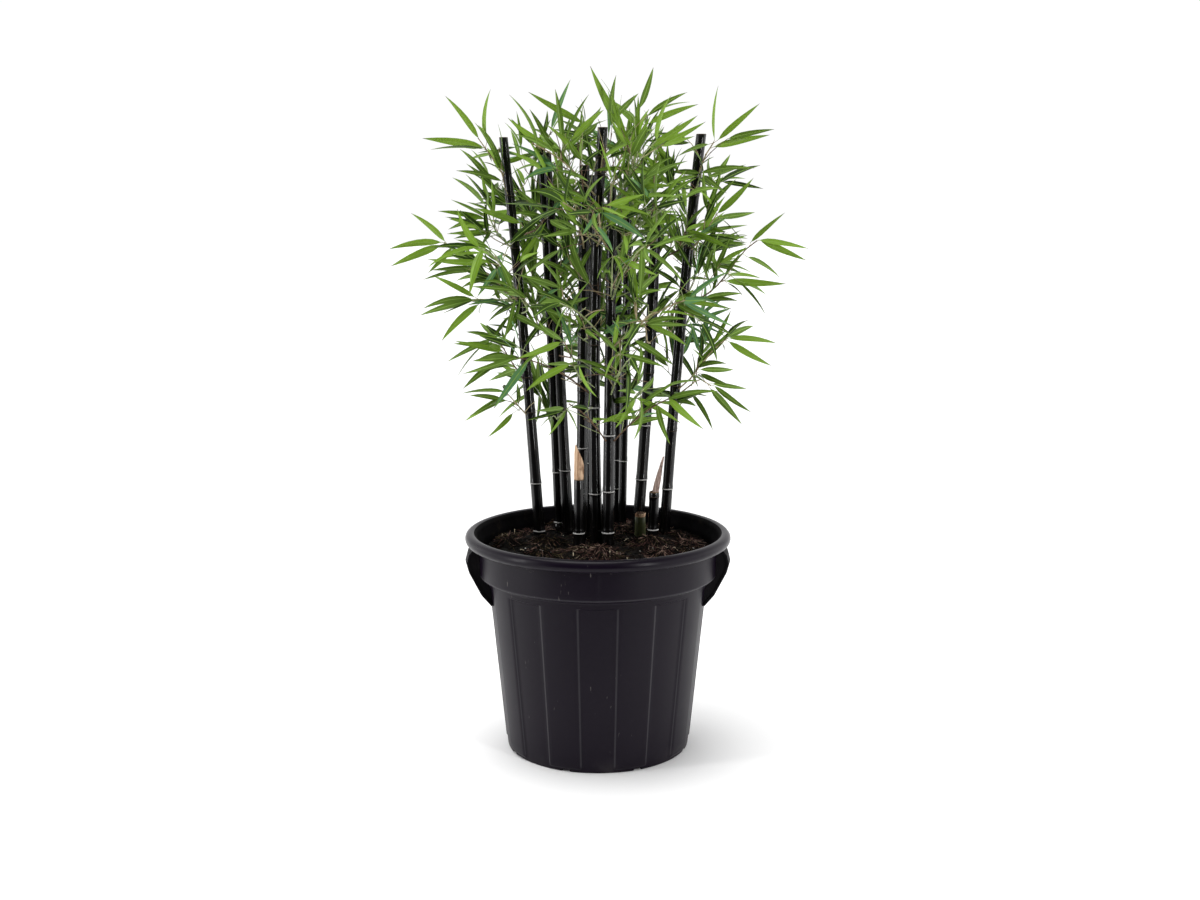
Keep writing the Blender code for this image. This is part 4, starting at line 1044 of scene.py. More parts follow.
def sheath_points(sheath, order):
    """The outside, then the inside, of a sheath that narrows to a torn edge."""
    stub = STUBS[sheath.stub]
    outer, inner = [], []
    for row in range(SHEATH_ROWS):
        share = row / (SHEATH_ROWS - 1)
        ease = share ** sheath.taper
        start = sheath.start_arc[0] + (sheath.end_arc[0] - sheath.start_arc[0]) * ease
        end = sheath.start_arc[1] + (sheath.end_arc[1] - sheath.start_arc[1]) * ease
        radius = stub.top_width / 2 - SHEATH_INSET + sheath.flare * share
        middle = Vector((stub.top[0] + sheath.lean[0] * share, stub.top[1] + sheath.lean[1] * share, 0))
        for step in range(SHEATH_STEPS + 1):
            angle = math.radians(start + (end - start) * step / SHEATH_STEPS)
            torn = noise.noise(Vector((angle * 3.0, order * 5.0, 0.0))) * TORN_DEPTH * share
            fold = FOLD_DEPTH * math.sin(angle * FOLDS + order)
            spoke = Vector((math.cos(angle), math.sin(angle), 0))
            height = Vector((0, 0, stub.top[2] + GAP + sheath.height * share + min(0.0, torn)))
            outer.append(middle + spoke * (radius + fold) + height)
            inner.append(middle + spoke * (radius + fold - SHEATH_WALL * (1 - 0.5 * share)) + height)
    return [tuple(p) for p in outer + inner]


for order, sheath in enumerate(SHEATHS):
    bundle = Bundle()
    faces, slots = sheet_faces(SHEATH_ROWS, SHEATH_STEPS + 1)
    bundle.add(sheath_points(sheath, order), faces, slots)
    skin = old_husk if sheath.stub == 2 else husk
    bundle.build(f"papery_{sheath.name}", [skin, husk_inside_painted_shade], "dry_sheath", [sheath.name], 60)

# %% [markdown]
# ## Leafy shoots: the plan
# Bamboo has no boughs.  Slender shoots leave the canes at their joints and each ends in a fan of
# leaves.  The crown is planned as layers of such shoots, each with its own turn, so it is full from
# every side.  A stem starts at the nearest cane from which it reaches its place without touching
# another cane.

# %% Layers of shoots
LEAF_TO_CANE, SIDE_RISE = 0.002, 0.020
CROWN_CENTRE = Vector((0.0, 0.045, 0.0))
Layer = namedtuple("Layer", "name start hub_radius hub_height turns fan_top fan_low")
STRAIGHT_TURNS = (0, 74, 134, 180, 254, 314)
STAGGERED_TURNS = (0, 46, 106, 180, 226, 286)
LAYERS = (
    Layer("skirt", 0.470, 0.148, 0.538, STRAIGHT_TURNS, 12, -58),
    Layer("lower", 0.540, 0.168, 0.604, STAGGERED_TURNS, 28, -52),
    Layer("middle", 0.612, 0.190, 0.684, STRAIGHT_TURNS, 32, -52),
    Layer("wide", 0.680, 0.236, 0.762, STAGGERED_TURNS, 38, -72),
    Layer("upper", 0.752, 0.172, 0.820, STRAIGHT_TURNS, 50, -30),
    Layer("high", 0.830, 0.162, 0.902, (0, 70, 180, 236, 300), 82, 0),
    Layer("crest", 0.885, 0.075, 0.927, (40, 165, 280), 78, 15),
)
SIDE_FANS = {
    ("skirt", 180): (-5, -30, -45), ("skirt", 0): (-5, -31, -50, -66),
    ("lower", 180): (2, 35, -18, -40), ("lower", 0): (-6, 15, -31, -50),
    ("middle", 180): (-2, 25, -15, -45), ("middle", 0): (-4, 47, -30, 64),
    ("wide", 180): (42, -5, -22, -63), ("wide", 0): (43, -8, -22, -40),
    ("upper", 180): (37, 80, 13, -12, -30), ("upper", 0): (45, 20, 0, -38),
    ("high", 180): (51, 84, 7, -8), ("high", 0): (42, 84, 13),
}
SIDE_SWING, FAN_SWING, CREST_SWING, LEAST_SWING = 0.30, 0.70, 1.5, 0.05
STEM_STEPS, SHORTEST_STEM, STEM_TO_CANE, START_BELOW, ARCH = 4, 0.035, 0.004, 0.022, 0.14
LEAF_LENGTH, HUB_LEAVES = 0.084, 5
SPACE_MARGIN, SPACE_AHEAD = 0.0012, 0.45
Spray = namedtuple("Spray", "name turn cane line fan swing")


def pointing(flat, rise):
    """The direction at an angle round the vertical and an angle above level."""
    return Vector((math.cos(flat) * math.cos(rise), math.sin(flat) * math.cos(rise), math.sin(rise)))


def curve_points(start, knee, end, steps):
    """Points along a curve from start to end that leaves towards the knee."""
    points = []
    for step in range(steps + 1):
        t = step / steps
        points.append(start * (1 - t) ** 2 + knee * 2 * t * (1 - t) + end * t ** 2)
    return points


def clear_of_canes(points, width, skip=None):
    """Whether every point keeps its distance from every cane."""
    for cane in CANES:
        if cane is skip:
            continue
        for point in points:
            if point.z > cane.top[2] + width + LEAF_TO_CANE:
                continue
            middle = cane_point(cane, min(point.z, cane.top[2]))
            away = math.hypot(point.x - middle.x, point.y - middle.y)
            if away < cane_radius(cane, point.z) + width:
                return False
    return True


def stem_line(cane, height, hub):
    """The stem's curve from the face of its cane to the hub of its leaves."""
    middle = cane_point(cane, height)
    outward = Vector((hub.x - middle.x, hub.y - middle.y, 0)).normalized()
    start = middle + outward * (cane_radius(cane, height) + GAP)
    chord = hub - start
    knee = start + chord * 0.5 + Vector((0, 0, ARCH * chord.length))
    return curve_points(start, knee, hub, STEM_STEPS)


def stem_is_clear(cane, line):
    """Whether a stem is long enough and touches no cane, past the face of its own."""
    if (line[-1] - line[0]).length < SHORTEST_STEM:
        return False
    return clear_of_canes(line, STEM_TO_CANE, skip=cane) and clear_of_canes(line[1:], STEM_TO_CANE)


def choose_cane(layer, hub):
    """The nearest cane from which a stem reaches the hub without touching another."""
    choices = []
    for cane in CANES:
        height = min(layer.start, cane.top[2] - START_BELOW)
        middle = cane_point(cane, height)
        away = math.hypot(hub.x - middle.x, hub.y - middle.y)
        choices.append((away + 0.6 * (layer.start - height), cane.name, cane, height))
    for _, _, cane, height in sorted(choices, key=lambda choice: choice[:2]):
        line = stem_line(cane, height, hub)
        if stem_is_clear(cane, line):
            return cane, line
    raise ValueError("no cane carries this spray")


def leaf_fan(layer, degrees):
    """Degrees above level of the leaves at a hub, the stem's own first, and their widest swing."""
    if (layer.name, degrees) in SIDE_FANS:
        return SIDE_FANS[layer.name, degrees], SIDE_SWING
    others = HUB_LEAVES - 1
    step = (layer.fan_low - layer.fan_top) / (others - 1)
    fan = [(layer.fan_top + layer.fan_low) / 2]
    fan += [layer.fan_top + step * index for index in range(others)]
    return fan, CREST_SWING if layer.name == "crest" else FAN_SWING


def plan_sprays():
    """One spray for each turn of each layer: its cane, its stem and the fan at its hub."""
    sprays = []
    for layer in LAYERS:
        for number, degrees in enumerate(layer.turns, 1):
            turn = math.radians(degrees)
            hub = CROWN_CENTRE + pointing(turn, 0.0) * layer.hub_radius
            hub.z = layer.hub_height + SIDE_RISE * hub.x
            cane, line = choose_cane(layer, hub)
            if layer.name == "crest":
                turn = math.atan2(hub.y - line[0].y, hub.x - line[0].x)
            name = f"spray_{layer.name}_{number}"
            sprays.append(Spray(name, turn, cane, line, *leaf_fan(layer, degrees)))
    return sprays


# %% [markdown]
# ## Leafy shoots: room to grow
# A thousand leaves must not grow through each other, and testing each against all the rest is slow.
# So the air is shared out before anything grows: a place belongs to the stem nearest to it, and a
# shoot only uses its own.

# %% The air that belongs to each shoot
class Spaces:
    """The air round each stem: a place belongs to the spray whose stem is nearest."""

    def __init__(self, sprays):
        heads, tails, owners = [], [], []
        for index, spray in enumerate(sprays):
            ahead = (spray.line[-1] - spray.line[-2]).normalized()
            line = spray.line + [spray.line[-1] + ahead * LEAF_LENGTH * SPACE_AHEAD]
            for a, b in zip(line, line[1:]):
                heads.append(tuple(a))
                tails.append(tuple(b))
                owners.append(index)
        self.heads = np.array(heads)
        self.runs = np.array(tails) - self.heads
        self.owners = np.array(owners)
        self.squares = (self.runs ** 2).sum(axis=1)

    def owns(self, index, points):
        """Whether all the points lie in the spray's space, clear of its border."""
        places = np.array([tuple(p) for p in points])
        offset = places[:, None, :] - self.heads[None]
        share = np.clip((offset * self.runs).sum(axis=2) / self.squares, 0, 1)
        away = np.linalg.norm(offset - share[..., None] * self.runs, axis=2)
        mine = self.owners == index
        return bool(np.all(away[:, mine].min(axis=1) + SPACE_MARGIN < away[:, ~mine].min(axis=1)))


sprays = plan_sprays()
spaces = Spaces(sprays)
print("sprays planned:", len(sprays))

# %% [markdown]
# ## Leafy shoots: growing one
# Growth is a rule with seeded chance: a stem, twigs to both sides, and at every end a fan of leaves.
# A leaf that would leave the shoot's air, pass through a cane or crowd another leaf is tried shorter
# and then left out, much as shade thins a real crown.

# %% The rule of growth
SIDE_TWIGS, FIRST_TWIG, LAST_TWIG = 4, 0.14, 0.62
TWIG_SPREADS, TWIG_CLEAR, TWIG_LENGTH, TWIG_LEAVES = (0.95, 0.6, 1.3), 0.003, 0.046, 3
TWIG_EXIT = 0.003
LEAF_STEP, LEAF_SAMPLES, LEAF_WIDEST, CAD_LEAF_WIDTH = 0.0055, 10, 0.36, 0.180
LEAF_CROWDED, LEAF_APART, STEEPEST, OPEN_AIR, RUN_STEPS = 0.3, 0.0035, 1.48, 0.462, 6
Leaf = namedtuple("Leaf", "root tip across lift length")
Shoot = namedtuple("Shoot", "line depth leaves")


def turned(direction, swing, tip_up):
    """A direction swung sideways about the vertical, then tipped up or down."""
    flat = math.atan2(direction.y, direction.x) + swing
    rise = math.asin(max(-1.0, min(1.0, direction.z))) + tip_up
    return pointing(flat, max(-STEEPEST, min(STEEPEST, rise)))


def lay_leaf(root, direction, length, roll):
    """A leaf's place: its tip, and the directions across it and out of its face."""
    level = direction.cross(Vector((0, 0, 1))).normalized()
    across = Matrix.Rotation(roll, 3, direction) @ level
    return Leaf(root, root + direction * length, across, across.cross(direction), length)


def leaf_samples(leaf, width):
    """Places down both edges and the middle of a leaf, past its foot."""
    half = leaf.length * width / 2
    samples = []
    for step in range(1, LEAF_SAMPLES + 1):
        share = step / LEAF_SAMPLES
        middle = leaf.root.lerp(leaf.tip, share)
        wide = half * min(1.0, share / LEAF_WIDEST, (1.02 - share) / 0.55)
        samples += [middle, middle + leaf.across * wide, middle - leaf.across * wide]
    return samples


def run_gap(a, b, c, d):
    """The least distance between two straight runs, from places along both."""
    steps = np.arange(RUN_STEPS + 1)[:, None] / RUN_STEPS
    first = np.array(a) + (np.array(b) - np.array(a)) * steps
    second = np.array(c) + (np.array(d) - np.array(c)) * steps
    return np.linalg.norm(first[:, None] - second[None], axis=2).min()


class SprayGrowth:
    """Grows the twigs and leaves of one spray by a seeded rule."""

    def __init__(self, index, spray, spaces):
        self.index = index
        self.spray = spray
        self.spaces = spaces
        self.chance = random.Random(1000 + index)
        self.leaves = []
        self.shoots = []
        self.leaf_width = CAD_LEAF_WIDTH
        self.apart = LEAF_APART

    def fits(self, points, width):
        """Whether the points lie above the bare canes, in the spray's own air and off the canes."""
        if min(p.z for p in points) < OPEN_AIR:
            return False
        return self.spaces.owns(self.index, points) and clear_of_canes(points, width)

    def clear_of_leaves(self, leaf):
        """Whether a leaf keeps its distance from the spray's others, past their crowded feet."""
        start = leaf.root.lerp(leaf.tip, LEAF_CROWDED)
        for other in self.leaves:
            other_start = other.root.lerp(other.tip, LEAF_CROWDED)
            if run_gap(start, leaf.tip, other_start, other.tip) <= self.apart:
                return False
        return True

    def try_leaf(self, root, direction, length):
        """A leaf that fits, a shorter one if need be, or none."""
        roll = self.chance.uniform(0.5, 1.35) * self.chance.choice((-1, 1))
        for size in (1.0, 0.8):
            leaf = lay_leaf(root, direction, length * size, roll)
            if self.fits(leaf_samples(leaf, self.leaf_width), LEAF_TO_CANE) and self.clear_of_leaves(leaf):
                self.leaves.append(leaf)
                return leaf
        return None

    def add_shoot(self, line, depth, leaf_count, place_leaf):
        """A stem or twig that ends in a leaf, with more leaves down its last stretch."""
        along = (line[-1] - line[-2]).normalized()
        leaves = [self.try_leaf(line[-1], *place_leaf(along, 0))]
        for number in range(1, leaf_count):
            foot = line[-1] - along * LEAF_STEP * number
            leaves.append(self.try_leaf(foot, *place_leaf(along, number)))
        shoot = Shoot(line, depth, [leaf for leaf in leaves if leaf])
        self.shoots.append(shoot)
        return shoot

    def twig_leaf(self, along, number):
        """Twig leaves stand out alternately to each side, wider apart lower down."""
        if number == 0:
            direction = turned(along, self.chance.uniform(-0.2, 0.2), -self.chance.uniform(0.0, 0.3))
            return direction, LEAF_LENGTH * self.chance.uniform(0.9, 1.05)
        side = 1 if number % 2 else -1
        swing = side * (0.35 + 0.22 * number) * self.chance.uniform(0.85, 1.2)
        length = LEAF_LENGTH * self.chance.uniform(0.75, 0.95)
        return turned(along, swing, -self.chance.uniform(0.0, 0.5)), length

    def hub_leaf(self, along, number):
        """Hub leaves take the angles of their fan, and swing to each side in turn."""
        side = 1 if number % 2 else -1
        widest = self.spray.swing if number else SIDE_SWING
        swing = side * self.chance.uniform(LEAST_SWING, widest)
        direction = pointing(self.spray.turn + swing, math.radians(self.spray.fan[number]))
        return direction, LEAF_LENGTH * self.chance.uniform(0.92, 1.08)

    def side_twig(self, number):
        """A twig to one side of the stem."""
        line = self.spray.line
        place = FIRST_TWIG + (LAST_TWIG - FIRST_TWIG) * number / (SIDE_TWIGS - 1)
        step = min(STEM_STEPS - 1, int(place * STEM_STEPS))
        root = line[step].lerp(line[step + 1], place * STEM_STEPS - step)
        along = (line[step + 1] - line[step]).normalized()
        side = 1 if number % 2 else -1
        for spread in TWIG_SPREADS:
            swing = side * spread * self.chance.uniform(0.8, 1.2)
            direction = turned(along, swing, self.chance.uniform(-0.35, 0.25))
            length = TWIG_LENGTH * self.chance.uniform(0.6, 1.1) * (1.0 - 0.35 * place)
            end = root + direction * length
            if self.fits([root.lerp(end, share) for share in (0.3, 0.65, 1.0)], TWIG_CLEAR):
                line = [root, root + direction * TWIG_EXIT, end]
                self.add_shoot(line, 1, TWIG_LEAVES, self.twig_leaf)
                return

    def grow(self):
        """The stem with its fan, then the side twigs."""
        self.add_shoot(self.spray.line, 0, len(self.spray.fan), self.hub_leaf)
        for number in range(SIDE_TWIGS):
            self.side_twig(number)


print("growth rule ready")

# %% [markdown]
# ## Leafy shoots: the finer twigs
# The frame's shoots stop at their first twigs.  Here the same rule goes on: more twigs from the
# stem, then twiglets, each with a smaller fan of leaves.  They are crowded near the canes and leave
# the ends of the shoots airy, because new shoots on a bamboo spring from its joints.

# %% A field of all leaves
class LeafField:
    """The places that leaves already take, so that a new one keeps clear of them all."""

    def __init__(self):
        self.places = np.full((1, 3), 9.0)

    def runs(self, leaf):
        """Places down the middle of a leaf, past its crowded foot."""
        shares = np.linspace(LEAF_CROWDED, 1.0, 8)[:, None]
        return np.array(leaf.root) * (1 - shares) + np.array(leaf.tip) * shares

    def add(self, leaf):
        """Note the places one more leaf takes."""
        self.places = np.vstack([self.places, self.runs(leaf)])

    def clear(self, leaf, apart):
        """Whether a leaf keeps its distance from every leaf noted so far."""
        run = self.runs(leaf)
        near = self.places[np.abs(self.places - run.mean(axis=0)).max(axis=1) < leaf.length]
        return not len(near) or np.linalg.norm(near[:, None] - run[None], axis=2).min() > apart


field = LeafField()
print("leaf field ready")

# %% Finer growth
FINE_TWIGS = {"skirt": 1, "lower": 2, "middle": 3, "wide": 5, "upper": 6, "high": 5, "crest": 4}
FINE_TRIES, FINE_APART, FINE_LEAF, LEAF_WIDTH = 4, 0.0040, (0.054, 0.076), 0.130
REACH = 0.006                           # leaves keep this far inside the frame's own box
LOW = Vector(CAD_BOX[0]) + Vector((REACH, REACH, 0.0))
HIGH = Vector(CAD_BOX[1]) - Vector((REACH, REACH, REACH))


class FineGrowth(SprayGrowth):
    """The same growth, carried on to finer twigs within the frame's box."""

    def __init__(self, index, spray, spaces):
        super().__init__(index, spray, spaces)
        self.fine = False
        self.tints = {}                 # the greens of leaves that are listed one by one

    def go_fine(self, seed):
        """From here on grow narrow leaves that keep clear of every leaf in the crown."""
        self.chance = random.Random(seed)
        self.fine, self.leaf_width = True, LEAF_WIDTH

    def fits(self, points, width):
        if not self.fine:
            return super().fits(points, width)
        for p in points:
            if not (LOW.x < p.x < HIGH.x and LOW.y < p.y < HIGH.y and OPEN_AIR < p.z < HIGH.z):
                return False
        return clear_of_canes(points, width)

    def clear_of_leaves(self, leaf):
        if not self.fine:
            return super().clear_of_leaves(leaf)
        return field.clear(leaf, FINE_APART)

    def try_leaf(self, root, direction, length):
        leaf = super().try_leaf(root, direction, length)
        if leaf:
            field.add(leaf)
        return leaf

    def fine_leaf(self, along, number):
        """Smaller leaves in a loose fan that droops a little."""
        side = 1 if number % 2 else -1
        swing = side * (0.10 + 0.34 * number) * self.chance.uniform(0.7, 1.2)
        droop = -self.chance.uniform(-0.25, 0.55)
        return turned(along, swing, droop), self.chance.uniform(*FINE_LEAF)

    def fine_twig(self, parent, low, high, length, depth):
        """A twig from a random place on a shoot, in a random direction that fits."""
        line = parent.line
        for _ in range(FINE_TRIES):
            place = self.chance.uniform(low, high) * (len(line) - 1)
            step = min(len(line) - 2, int(place))
            root = line[step].lerp(line[step + 1], place - step)
            along = (line[step + 1] - line[step]).normalized()
            swing = self.chance.uniform(0.5, 1.9) * self.chance.choice((-1, 1))
            direction = turned(along, swing, self.chance.uniform(-0.8, 0.7))
            size = length * self.chance.uniform(0.5, 1.2)
            sag = Vector((0, 0, self.chance.uniform(0.05, 0.16) * size))
            reach = direction * size
            twig = curve_points(root, root + reach * 0.5 + sag, root + reach, 3)
            if self.fits(twig[1:], TWIG_CLEAR * 0.6):
                return self.add_shoot(twig, depth, self.chance.choice((2, 3, 3, 4)), self.fine_leaf)
        return None

    def refine(self):
        """Carry the coarse shoots on to finer ones, mostly near the canes."""
        self.go_fine(5000 + self.index)
        twigs = self.shoots[1:4]
        for _ in range(FINE_TWIGS[self.spray.name.split("_")[1]]):
            twigs.append(self.fine_twig(self.shoots[0], 0.02, 0.58, 0.052, 1))
        for twig in filter(None, twigs):
            self.fine_twig(twig, 0.20, 0.75, 0.028, 2)


grown = []
for index, spray in enumerate(sprays):
    if "crest" in spray.name or abs(math.sin(spray.turn)) < 0.1:
        continue                        # these stand at the outline and are listed below
    growth = FineGrowth(index, spray, spaces)
    SprayGrowth.grow(growth)
    grown.append(growth)
print("coarse leaves:", sum(len(g.leaves) for g in grown))
